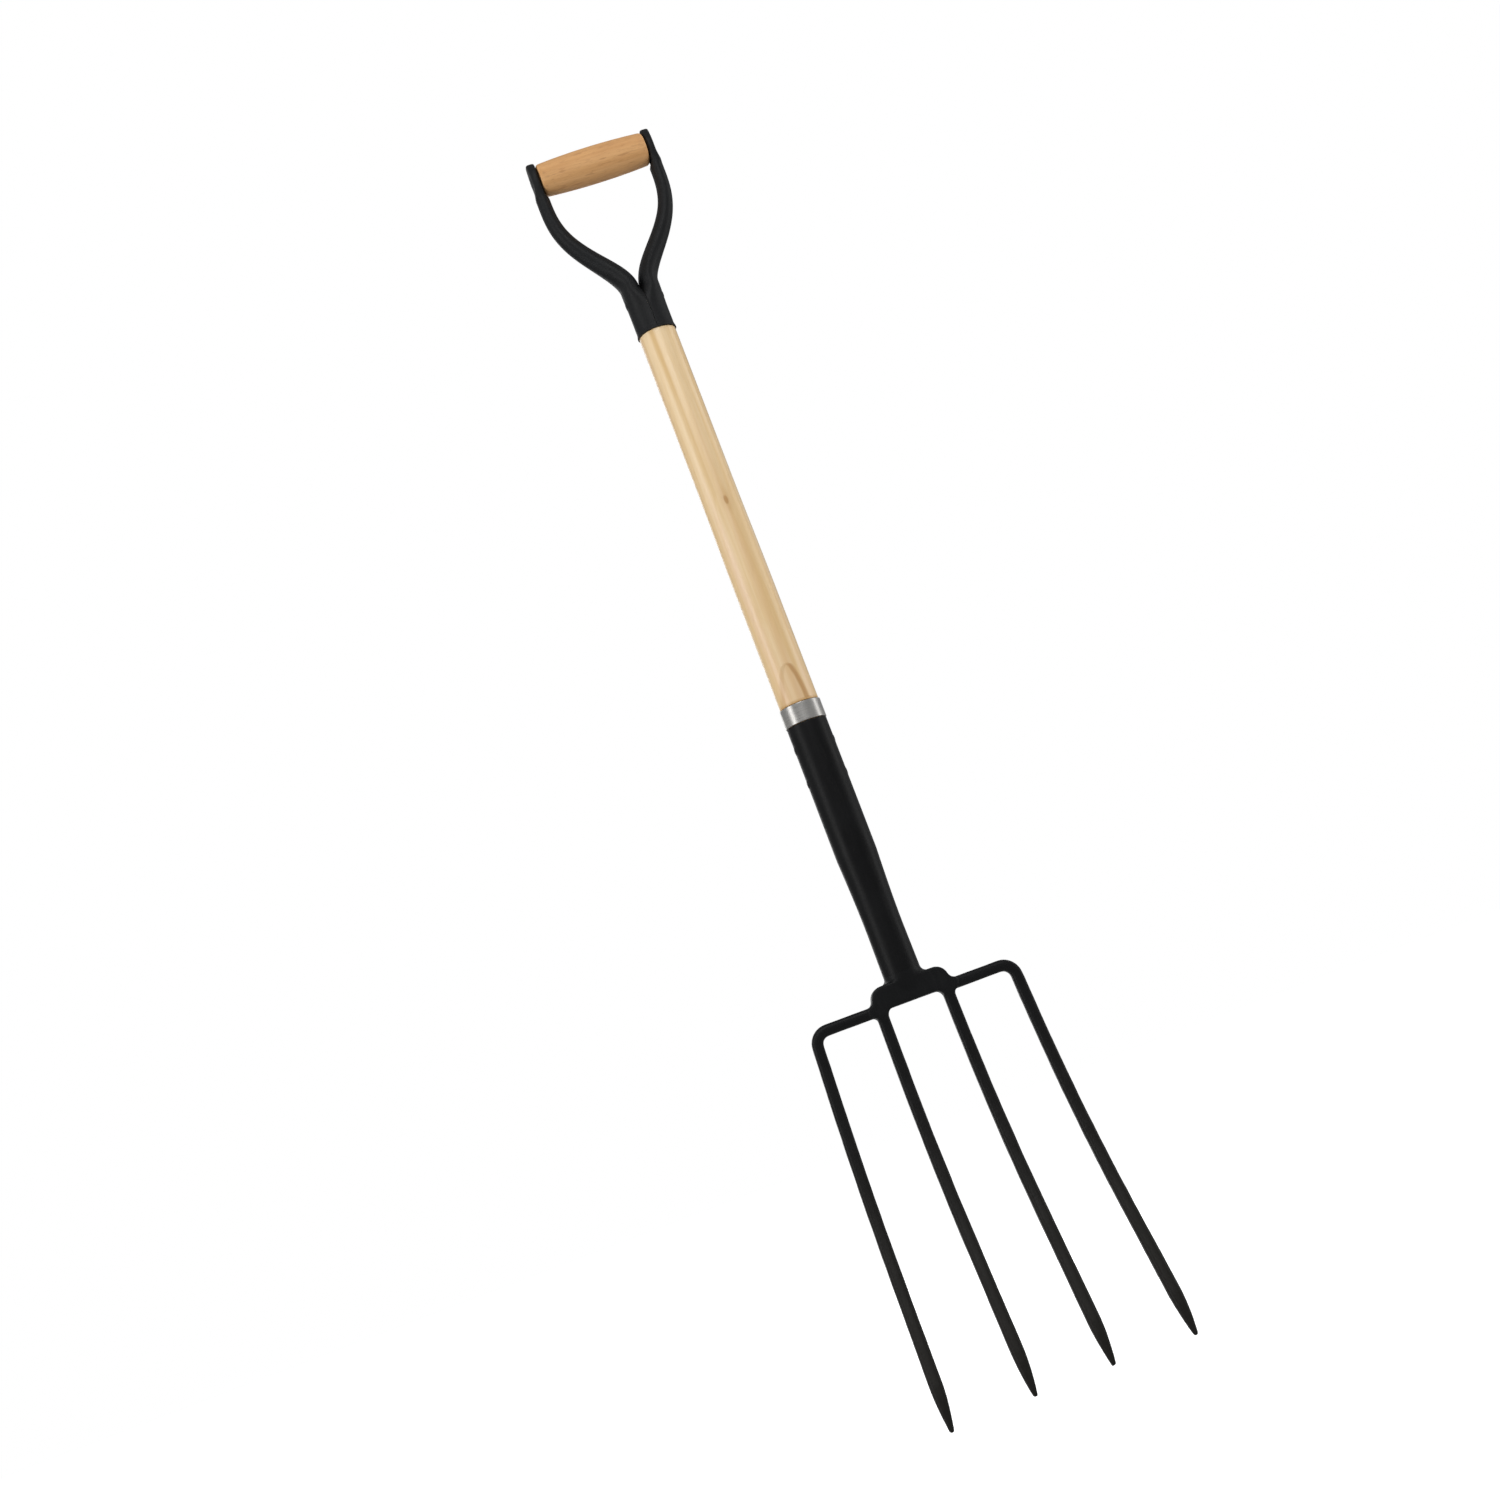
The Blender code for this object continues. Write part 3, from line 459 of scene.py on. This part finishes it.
def make_arch(tree, x, z, wobble):
    """An arch that points up and drifts to the left below, with its right leg darker and a faint inside."""
    fall = maths(tree, "SUBTRACT", -ARCH_TIP_DROP, z)
    below = maths(tree, "MAXIMUM", fall, 0.0)
    middle = remap(tree, below, 0.0, ARCH_LENGTH, ARCH_TIP_X, ARCH_FOOT_X)
    offset = maths(tree, "SUBTRACT", x, middle)
    half_width = maths(tree, "MULTIPLY", maths(tree, "SQRT", below), ARCH_SPREAD)
    half_width = maths(tree, "MULTIPLY_ADD", wobble, ARCH_WOBBLE, half_width)
    miss = maths(tree, "SUBTRACT", maths(tree, "ABSOLUTE", offset), half_width)
    line = remap(tree, maths(tree, "ABSOLUTE", miss), *ARCH_LINE_FADE)
    darkness = remap(tree, offset, -0.002, 0.003, ARCH_LEFT_DARKNESS, ARCH_RIGHT_DARKNESS)
    legs = maths(tree, "MULTIPLY", line, darkness)
    inside = remap(tree, miss, 0.0, -0.0015, to_high=ARCH_INSIDE_DARKNESS)
    arch = maths(tree, "MAXIMUM", legs, inside)
    return maths(tree, "MULTIPLY", arch, remap(tree, fall, -0.0015, 0.0005))


def make_grip_wood():
    """Oiled hardwood with open pores that run along the bar."""
    material, tree, shader = new_material("oiled_grip_wood", Specular_IOR_Level=0.35)
    light, middle, dark = (0.69, 0.395, 0.175), (0.59, 0.31, 0.12), (0.27, 0.12, 0.04)
    fleck, patch = (0.34, 0.15, 0.055), (0.50, 0.255, 0.10)
    coords = object_coords(tree)
    along_bar = {"Vector": coords, "Rotation": (0, math.radians(90), 0)}
    turned_coords = add_node(tree, "ShaderNodeMapping", along_bar, vector_type="POINT").outputs[0]
    grain = use_group(tree, TIMBER_GRAIN, {
        "Vector": turned_coords, "Ring Spacing": 0.0022, "Pith X": -0.03, "Pith Y": 0.02,
        "Lean": 0.07, "Waviness": 0.5,
    })
    colour = tinted(tree, remap(tree, grain["Band"], 0.35, 0.65), light, middle)
    colour = tinted(tree, remap(tree, grain["Late Wood"], 0.0, 1.0, to_high=0.35), colour, middle)
    colour = tinted(tree, remap(tree, grain["Fibre"], 0.35, 0.7, to_low=0.14, to_high=0.0), colour, dark)
    colour = tinted(tree, maths(tree, "MULTIPLY", grain["Pore"], 0.4), colour, dark)
    fleck_field = streaks(tree, coords, (90, 480, 480))
    colour = tinted(tree, remap(tree, fleck_field, 0.60, 0.70, to_high=0.38), colour, fleck)
    patch_field = streaks(tree, coords, (26, 60, 60), detail=1.0)
    colour = tinted(tree, remap(tree, patch_field, 0.48, 0.68, to_high=0.35), colour, patch)
    tree.links.new(colour, shader.inputs["Base Color"])
    tree.links.new(remap(tree, grain["Fibre"], 0.3, 0.7, 0.46, 0.60), shader.inputs["Roughness"])
    bump(tree, shader, grain["Height"], strength=0.30, distance=0.0001)
    return material


def make_black_paint(name, tint, roughness, peel, gloss, painted_light_tint=None):
    """Satin black paint on steel. A lighter, warmer tint, where one is given, takes over towards the head's
    points: painted light, for the lower tines that turn up to the lamps.
    """
    material, tree, shader = new_material(name, Specular_IOR_Level=gloss)
    coords = object_coords(tree)
    skin = use_group(tree, SPRAYED_SKIN, {"Vector": coords, "Peel Scale": peel})
    lighter = tuple(value * CLOUD_LIGHTENING for value in tint)
    colour = tinted(tree, remap(tree, skin["Cloud"], 0.35, 0.65), tint, lighter)
    if painted_light_tint:
        # painted light: the forging grows lighter and warmer towards its points
        low, high = BOXES["head"]
        height = axes_of(tree, coords)[2]
        painted_light_mask = remap(tree, height, high.z - PAINTED_LIGHT_TOP, low.z + PAINTED_LIGHT_FOOT)
        colour = tinted(tree, painted_light_mask, colour, painted_light_tint)
    colour = tinted(tree, maths(tree, "MULTIPLY", skin["Scuff"], 0.05), colour, SCUFF_TINT)
    tree.links.new(colour, shader.inputs["Base Color"])
    rough = remap(tree, skin["Cloud"], 0.3, 0.7, roughness - 0.04, roughness + 0.05)
    tree.links.new(maths(tree, "MULTIPLY_ADD", skin["Scuff"], 0.06, rough), shader.inputs["Roughness"])
    bump(tree, shader, skin["Height"], strength=0.22, distance=0.00006)
    return material


def make_band_steel():
    """Bright steel, brushed round the ring."""
    material, tree, shader = new_material("brushed_band_steel", Metallic=1.0)
    darker, brighter, clouded = (0.60, 0.585, 0.56), (0.70, 0.69, 0.665), (0.55, 0.53, 0.50)
    coords = object_coords(tree)
    lines = streaks(tree, coords, (40, 40, 5200), detail=3.0, roughness=0.7)
    colour = tinted(tree, remap(tree, lines, 0.3, 0.7), darker, brighter)
    cloud = noise_of(tree, coords, 90.0)
    colour = tinted(tree, remap(tree, cloud, 0.4, 0.7, to_high=0.25), colour, clouded)
    tree.links.new(colour, shader.inputs["Base Color"])
    tree.links.new(remap(tree, lines, 0.3, 0.7, 0.26, 0.38), shader.inputs["Roughness"])
    bump(tree, shader, lines, strength=0.12, distance=0.00004)
    return material


SHAFT_WOOD = make_shaft_wood()
GRIP_WOOD = make_grip_wood()
YOKE_PAINT = make_black_paint(
    "satin_black_yoke", tint=(0.0026, 0.0030, 0.0036), roughness=0.54, peel=1000.0, gloss=0.38
)
SOCKET_PAINT = make_black_paint(
    "satin_black_socket", tint=(0.0012, 0.0013, 0.0016), roughness=0.42, peel=900.0, gloss=0.26
)
# The forging's last tint is painted light, lighter and warmer towards its points.
FORGED_PAINT = make_black_paint(
    "satin_black_forging", tint=(0.0010, 0.0012, 0.0016), roughness=0.46, peel=700.0, gloss=0.30,
    painted_light_tint=(0.0064, 0.0054, 0.0040),
)
BAND_STEEL = make_band_steel()


# ---------------------------------------------------------------- grip bar and its rod


def make_grip():
    """A barrel with its thickest place in the middle and its ends rounded over."""
    high = BOXES["hand_grip"][1]
    half = high.x
    hole_dish = 0.0042
    end_round, round_share, round_steps = 0.0030, 0.8, 12
    stations = 30
    side = []
    for i in range(stations + 1):
        along = blend(half - end_round, -half + end_round, i / stations)
        side.append((blend(GRIP_END_RADIUS, high.z, 1 - (along / half) ** 2), along))
    shoulder = side[0][0]
    end = [(0, half), (hole_dish, half)]
    for i in range(round_steps):
        angle = math.pi / 2 * i / round_steps
        radius = shoulder - end_round * round_share * (1 - math.sin(angle))
        end.append((radius, half - end_round * (1 - math.cos(angle))))
    shape = laid_along_x(turned(end + side + mirrored(end)))
    finished("turned_grip", shape, GRIP_WOOD, "grip_wood", "hand_grip")


def make_rod():
    """The rod, with a flat head at each end that is let into the strap and softened by paint."""
    high = BOXES["grip_rod"][1]
    end, head_radius = high.x, high.z
    head_depth, shank_radius = 0.0013, 0.0029
    seat = end - head_depth
    crown, edge_drop, edge_round = 0.00008, 0.0004, 0.0003
    half = [
        (0, end), (head_radius * 0.35, end), (head_radius * 0.8, end - crown),
        (head_radius, end - edge_drop, edge_round), (head_radius, seat), (shank_radius, seat),
    ]
    shape = laid_along_x(turned(rounded(half + mirrored(half)), RIVET_SIDES))
    finished("rod_with_heads", shape, YOKE_PAINT, "black_steel", "grip_rod")


# ---------------------------------------------------------------- yoke


def strap_edges(z):
    """Inner and outer x of the right strap. It widens outwards beside the grip bar, and inwards below."""
    arm_inner = STRAP_INNER_X - ARM_STEP_IN
    outwards = smoothstep((-z - ROD_HEAD_RADIUS) / (ARM_START_DROP - ROD_HEAD_RADIUS))
    inwards = smoothstep((-z - STRAP_END_DROP) / ARM_TURN_HEIGHT)
    outer = blend(STRAP_OUTER_X, arm_inner + ARM_TOP_THICKNESS, outwards)
    return blend(STRAP_INNER_X, arm_inner, inwards), outer


def arm_half_thickness(z):
    """Half of the arm's thickness in the plane of the D."""
    if z > -ARM_START_DROP:
        inner, outer = strap_edges(z)
        return (outer - inner) / 2
    amount = smoothstep((-z - ARM_START_DROP) / (CROTCH_DROP - ARM_START_DROP))
    return blend(ARM_TOP_THICKNESS, ARM_FOOT_THICKNESS, amount) / 2


def arm_centre_x(z):
    """Distance of the arm's centre line from the shaft's axis."""
    if z > -ARM_START_DROP:
        return sum(strap_edges(z)) / 2
    drop = min((-z - ARM_START_DROP) / (CROTCH_DROP - ARM_START_DROP), 1.0)
    start = sum(strap_edges(-ARM_START_DROP)) / 2
    crotch = (ARM_FOOT_THICKNESS + GAP) / 2
    return blend(start, crotch, smoothstep(drop**ARM_SWEEP_SKEW))


def arm_lean(z):
    """Angle of the arm's section: level in the strap, and square to the centre line lower down."""
    if z > -ARM_START_DROP:
        return 0.0
    step = 0.0005
    return math.atan2(arm_centre_x(z) - arm_centre_x(z - step), step)


def arm_half_width(z, top):
    """Half of the arm's width from front to back."""
    if z > 0:
        return STRAP_HALF_WIDTH * math.sqrt(max(1 - (z / top) ** 2, 0.0))
    if z > -ARM_START_DROP:
        return blend(STRAP_HALF_WIDTH, ARM_HALF_WIDTH, smoothstep(-z / ARM_START_DROP))
    flare_end = CROTCH_DROP + VALLEY_LENGTH / 2
    amount = smoothstep((-z - ARM_FLARE_DROP) / (flare_end - ARM_FLARE_DROP))
    return blend(ARM_HALF_WIDTH, YOKE_SOCKET_RADIUS, amount)


def powered(value, power):
    return math.copysign(abs(value) ** power, value)


def sheet_section(thick, wide, sheet, plane, power):
    """The bent sheet seen end on, as (outward, y): round outside, and back along the inside."""
    reach = min(max(plane / thick, -1.0), 1.0)
    end = min(math.pi - SEAM_ANGLE, math.acos(reach))
    outer, inner = [], []
    for i in range(YOKE_AROUND + 1):
        angle = blend(-end, end, i / YOKE_AROUND)
        cos, sin = powered(math.cos(angle), power), powered(math.sin(angle), power)
        outer.append((thick * cos, wide * sin))
        inner.append(((thick - sheet) * cos, (wide - sheet) * sin))
    return outer + inner[::-1]


def yoke_station(z, top, bottom, seam_x):
    """Centre, half thickness, half width, lean and power of the right half's section at a height."""
    drop = -CROTCH_DROP - z
    if drop < 0:
        rim = min(max((top - z) / STRAP_RIM_ROUND, 0.0), 1.0)
        thick = arm_half_thickness(z) * math.sqrt(1 - (1 - rim) ** 2 * STRAP_RIM_THINNING)
        power = blend(STRAP_SQUARENESS, 1.0, smoothstep((-z - STRAP_END_DROP) / ARM_TURN_HEIGHT))
        return arm_centre_x(z), thick, arm_half_width(z, top), arm_lean(z), power
    valley = 1 - smoothstep(drop / VALLEY_LENGTH)
    lip_start = -CROTCH_DROP - bottom - LIP_HEIGHT
    flare = LIP_FLARE * smoothstep((drop - lip_start) / LIP_HEIGHT)
    centre = valley * (ARM_FOOT_THICKNESS / 2 + seam_x)
    thick = blend(YOKE_SOCKET_RADIUS + flare, ARM_FOOT_THICKNESS / 2, valley)
    wide = min(arm_half_width(z, top), YOKE_SOCKET_RADIUS) + flare
    return centre, thick, wide, 0.0, 1.0


def make_yoke_half(name, side):
    """One pressed half, on the side -1 or 1. Its sections crowd together at the strap's rounded top."""
    low, high = BOXES[name]
    top, bottom = high.z, low.z
    first_z = top - 0.00004
    crowded_part = 1 / 6
    seam_x = min(abs(low.x), abs(high.x))
    rings = []
    for i in range(YOKE_ALONG + 1):
        amount = i / YOKE_ALONG
        z = blend(first_z, bottom, blend(amount**2, amount, smoothstep(amount / crowded_part)))
        centre, thick, wide, lean, power = yoke_station(z, top, bottom, seam_x)
        sheet = min(YOKE_SHEET, SHEET_MOST * thick, SHEET_MOST * wide)
        plane = (seam_x - centre) / math.cos(lean)
        ring = []
        for outward, y in sheet_section(thick, wide, sheet, plane, power):
            ring.append((side * (centre + outward * math.cos(lean)), y, z - outward * math.sin(lean)))
        rings.append(ring)
    finished(f"pressed_{name}", lofted(rings), YOKE_PAINT, "black_steel", name)


def make_dome_rivet(name, node):
    """A rivet whose two low domes stand on the painted steel."""
    low, high = BOXES[node]
    head_radius = (high.z - low.z) / 2
    sunk, head_depth, shank_share = 0.0003, 0.0032, 0.55
    dome, dome_steps = 0.0012, 10
    end = high.x - sunk
    seat = end - head_depth
    half = []
    for i in range(dome_steps + 1):
        angle = math.pi / 2 * i / dome_steps
        half.append((head_radius * math.sin(angle), end - dome * (1 - math.cos(angle))))
    half += [(head_radius, seat), (head_radius * shank_share, seat)]
    shape = laid_along_x(turned(half + mirrored(half), RIVET_SIDES), (high.z + low.z) / 2)
    finished(name, shape, YOKE_PAINT, "black_steel", node)


# ---------------------------------------------------------------- shaft, band and socket


def make_shaft():
    """A pole with a rounded nose in the yoke, a slow swell below it, and a tenon in the socket."""
    low, high = BOXES["shaft"]
    band_low, band_high = BOXES["band"]
    lip_z = BOXES["yoke_left"][0].z
    radius = high.x
    upper_radius = radius - SHAFT_TOP_SLIMMER
    rebate_radius = radius - BAND_REBATE
    nose_top = high.z - NOSE_DROP
    nose_steps, swell_steps = 8, 30
    top_round, rebate_round, foot_round = 0.0006, 0.0007, 0.0015
    profile = [(0, nose_top)]
    for i in range(nose_steps + 1):
        amount = i / nose_steps
        nose = blend(NOSE_RADIUS, YOKE_TENON_RADIUS, 1 - (1 - amount) ** 2)
        profile.append((nose, nose_top - NOSE_LENGTH * amount))
    profile += [(YOKE_TENON_RADIUS, lip_z - GAP), (upper_radius, lip_z - GAP, top_round)]
    for i in range(swell_steps + 1):
        amount = i / swell_steps
        swell = blend(upper_radius, radius, smoothstep(amount))
        profile.append((swell, lip_z - SWELL_DROP - SWELL_LENGTH * amount))
    profile += [
        (radius, band_high.z + GAP, rebate_round), (rebate_radius, band_high.z + GAP),
        (rebate_radius, band_low.z), (SOCKET_TENON_RADIUS, band_low.z),
        (SOCKET_TENON_RADIUS, low.z, foot_round), (0, low.z),
    ]
    finished("turned_shaft", turned(rounded(profile)), SHAFT_WOOD, "shaft_wood", "shaft")


def make_band():
    """The ring, with both rims rolled over and its outside a hair hollow between them."""
    low, high = BOXES["band"]
    outer = high.x
    bore = outer - BAND_SHEET
    middle = (high.z + low.z) / 2
    rolled = 0.0016
    profile = [
        (bore, middle), (bore, high.z, BAND_RIM / 2), (outer, high.z, BAND_RIM), (outer, high.z - rolled),
        (outer - BAND_HOLLOW, middle),
        (outer, low.z + rolled), (outer, low.z, BAND_RIM), (bore, low.z, BAND_RIM / 2),
    ]
    finished("rolled_band", turned(rounded(profile), ring=True), BAND_STEEL, "band_steel", "band")


def make_socket():
    """The tube, straight at the top and drawn in to a neck, with a soft rim and a skirt over the joint."""
    low, high = BOXES["socket"]
    radius = high.x
    bore = radius - SOCKET_WALL
    rim = 0.0006
    drawn_z = high.z - SOCKET_STRAIGHT
    neck_z = drawn_z - SOCKET_DRAWN
    foot_bore, foot_z = FOOT_RADIUS - FOOT_WALL, low.z - FOOT_SKIRT
    drawn_steps = 40
    profile = [(bore, high.z - 0.02), (bore, high.z, rim), (radius, high.z, rim), (radius, high.z - 0.004)]
    for i in range(drawn_steps + 1):
        amount = i / drawn_steps
        drawn = blend(radius, NECK_RADIUS, math.sin(math.pi / 2 * amount))
        profile.append((drawn, drawn_z - SOCKET_DRAWN * amount))
    profile += [(FOOT_RADIUS, low.z), (FOOT_RADIUS, foot_z), (foot_bore, foot_z)]
    profile += [(foot_bore, neck_z), (bore, drawn_z)]
    finished("drawn_socket", turned(rounded(profile), ring=True), SOCKET_PAINT, "black_steel", "socket")


# ---------------------------------------------------------------- head


def make_head():
    """The forging: the CAD solid with its corners run together, and slightly uneven from the hammer."""
    rough = bpy.data.objects.new("forging_blank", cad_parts["head"].data.copy())
    bpy.context.scene.collection.objects.link(rough)
    remesh = rough.modifiers.new("Even skin", "REMESH")
    remesh.mode = "VOXEL"
    remesh.voxel_size = HEAD_VOXEL
    smooth = rough.modifiers.new("Run together", "SMOOTH")
    smooth.factor = 0.5
    smooth.iterations = HEAD_SMOOTHING
    bpy.context.view_layer.update()
    graph = bpy.context.evaluated_depsgraph_get()
    mesh = bpy.data.meshes.new_from_object(rough.evaluated_get(graph))
    bpy.data.objects.remove(rough, do_unlink=True)
    shape = bmesh.new()
    shape.from_mesh(mesh)
    shape.normal_update()
    for vertex in shape.verts:
        pushed = noise.noise(vertex.co * FORGED_SCALE) - 0.5
        vertex.co += vertex.normal * pushed * FORGED_UNEVENNESS
    finished("forged_head", shape, FORGED_PAINT, "black_steel", "head")


# ---------------------------------------------------------------- studio


def make_camera():
    camera = bpy.data.objects.new("camera", bpy.data.cameras.new("camera"))
    bpy.context.scene.collection.objects.link(camera)
    camera.data.lens = CAMERA_LENS_MM
    camera.data.sensor_width = CAMERA_FILM_MM
    camera.data.clip_start = 0.01
    stand = Matrix.Translation(CAMERA_PLACE)
    for degrees, axis in CAMERA_TURNS:
        stand = stand @ Matrix.Rotation(math.radians(degrees), 4, axis)
    camera.matrix_world = stand
    bpy.context.scene.camera = camera


def make_softbox(name, azimuth, distance, height, size, radiance, aim=-0.5, seen_in_gloss=True):
    """A soft box at an angle in degrees round the fork from its front, positive to the right."""
    light = bpy.data.lights.new(name, "AREA")
    light.shape = "RECTANGLE"
    light.size, light.size_y = size
    light.energy = radiance * math.pi * size[0] * size[1]
    box = bpy.data.objects.new(name, light)
    bpy.context.scene.collection.objects.link(box)
    turn = math.radians(azimuth)
    box.location = (distance * math.sin(turn), -distance * math.cos(turn), height)
    towards = Vector((0, 0, aim)) - box.location
    box.rotation_euler = towards.to_track_quat("-Z", "Y").to_euler()
    box.visible_camera = False
    box.visible_glossy = seen_in_gloss


def make_floor():
    """Plain floor a little below the points: white to look at, grey to light and to reflect."""
    half_width, clearance = 20.0, 0.06
    shape = bmesh.new()
    bmesh.ops.create_grid(shape, x_segments=1, y_segments=1, size=half_width)
    mesh = bpy.data.meshes.new("floor")
    shape.to_mesh(mesh)
    shape.free()
    floor = bpy.data.objects.new("floor", mesh)
    bpy.context.scene.collection.objects.link(floor)
    floor.location.z = cad_box[0].z - clearance
    grey, white = (0.34, 0.34, 0.34, 1.0), (1.0, 1.0, 1.0, 1.0)
    material, tree, shader = new_material(
        "pale_floor", Base_Color=grey, Roughness=0.9, Specular_IOR_Level=0.1, Emission_Color=white
    )
    camera_ray = add_node(tree, "ShaderNodeLightPath").outputs["Is Camera Ray"]
    tree.links.new(camera_ray, shader.inputs["Emission Strength"])
    mesh.materials.append(material)


def make_world():
    """White to look at, and a dim even room to light and to reflect."""
    world = bpy.data.worlds.new("studio")
    bpy.context.scene.world = world
    world.use_nodes = True
    tree = world.node_tree
    tree.nodes.clear()
    white = (1, 1, 1, 1)
    room = add_node(tree, "ShaderNodeBackground", {"Color": white, "Strength": 0.30}).outputs[0]
    seen = add_node(tree, "ShaderNodeBackground", {"Color": white, "Strength": 1.0}).outputs[0]
    camera_ray = add_node(tree, "ShaderNodeLightPath").outputs["Is Camera Ray"]
    mixed = add_node(tree, "ShaderNodeMixShader", {0: camera_ray, 1: room, 2: seen}).outputs[0]
    add_node(tree, "ShaderNodeOutputWorld", {"Surface": mixed})


make_grip()
make_rod()
make_yoke_half("yoke_left", -1)
make_yoke_half("yoke_right", 1)
make_dome_rivet("yoke_dome_rivet", "yoke_rivet")
make_shaft()
make_band()
make_socket()
make_dome_rivet("socket_dome_rivet_upper", "socket_rivet_upper")
make_dome_rivet("socket_dome_rivet_lower", "socket_rivet_lower")
make_head()

make_camera()
make_world()
make_floor()
make_softbox("left_softbox", -67.5, 1.7, -0.45, size=(0.62, 2.6), radiance=1.7)
make_softbox("right_softbox", 85, 1.5, -0.45, size=(0.55, 2.6), radiance=1.15)
make_softbox("top_softbox", -5, 2.0, 0.9, size=(1.3, 0.9), radiance=2.8, aim=-0.4)
make_softbox("right_fill", 60, 2.4, -0.3, size=(1.2, 1.2), radiance=5.4, aim=-0.4, seen_in_gloss=False)
make_softbox("top_fill", 15, 0.9, 1.9, size=(1.0, 1.0), radiance=4.8, aim=0.0, seen_in_gloss=False)
make_softbox("left_fill", -70, 2.4, -0.3, size=(1.2, 1.2), radiance=6.0, aim=-0.4, seen_in_gloss=False)
make_softbox("back_softbox", 195, 2.0, -0.3, size=(0.5, 2.4), radiance=1.6)
make_softbox("back_fill", 172, 2.4, 0.1, size=(1.6, 1.6), radiance=5.0, aim=-0.4, seen_in_gloss=False)
bpy.context.scene.view_settings.view_transform = "Standard"
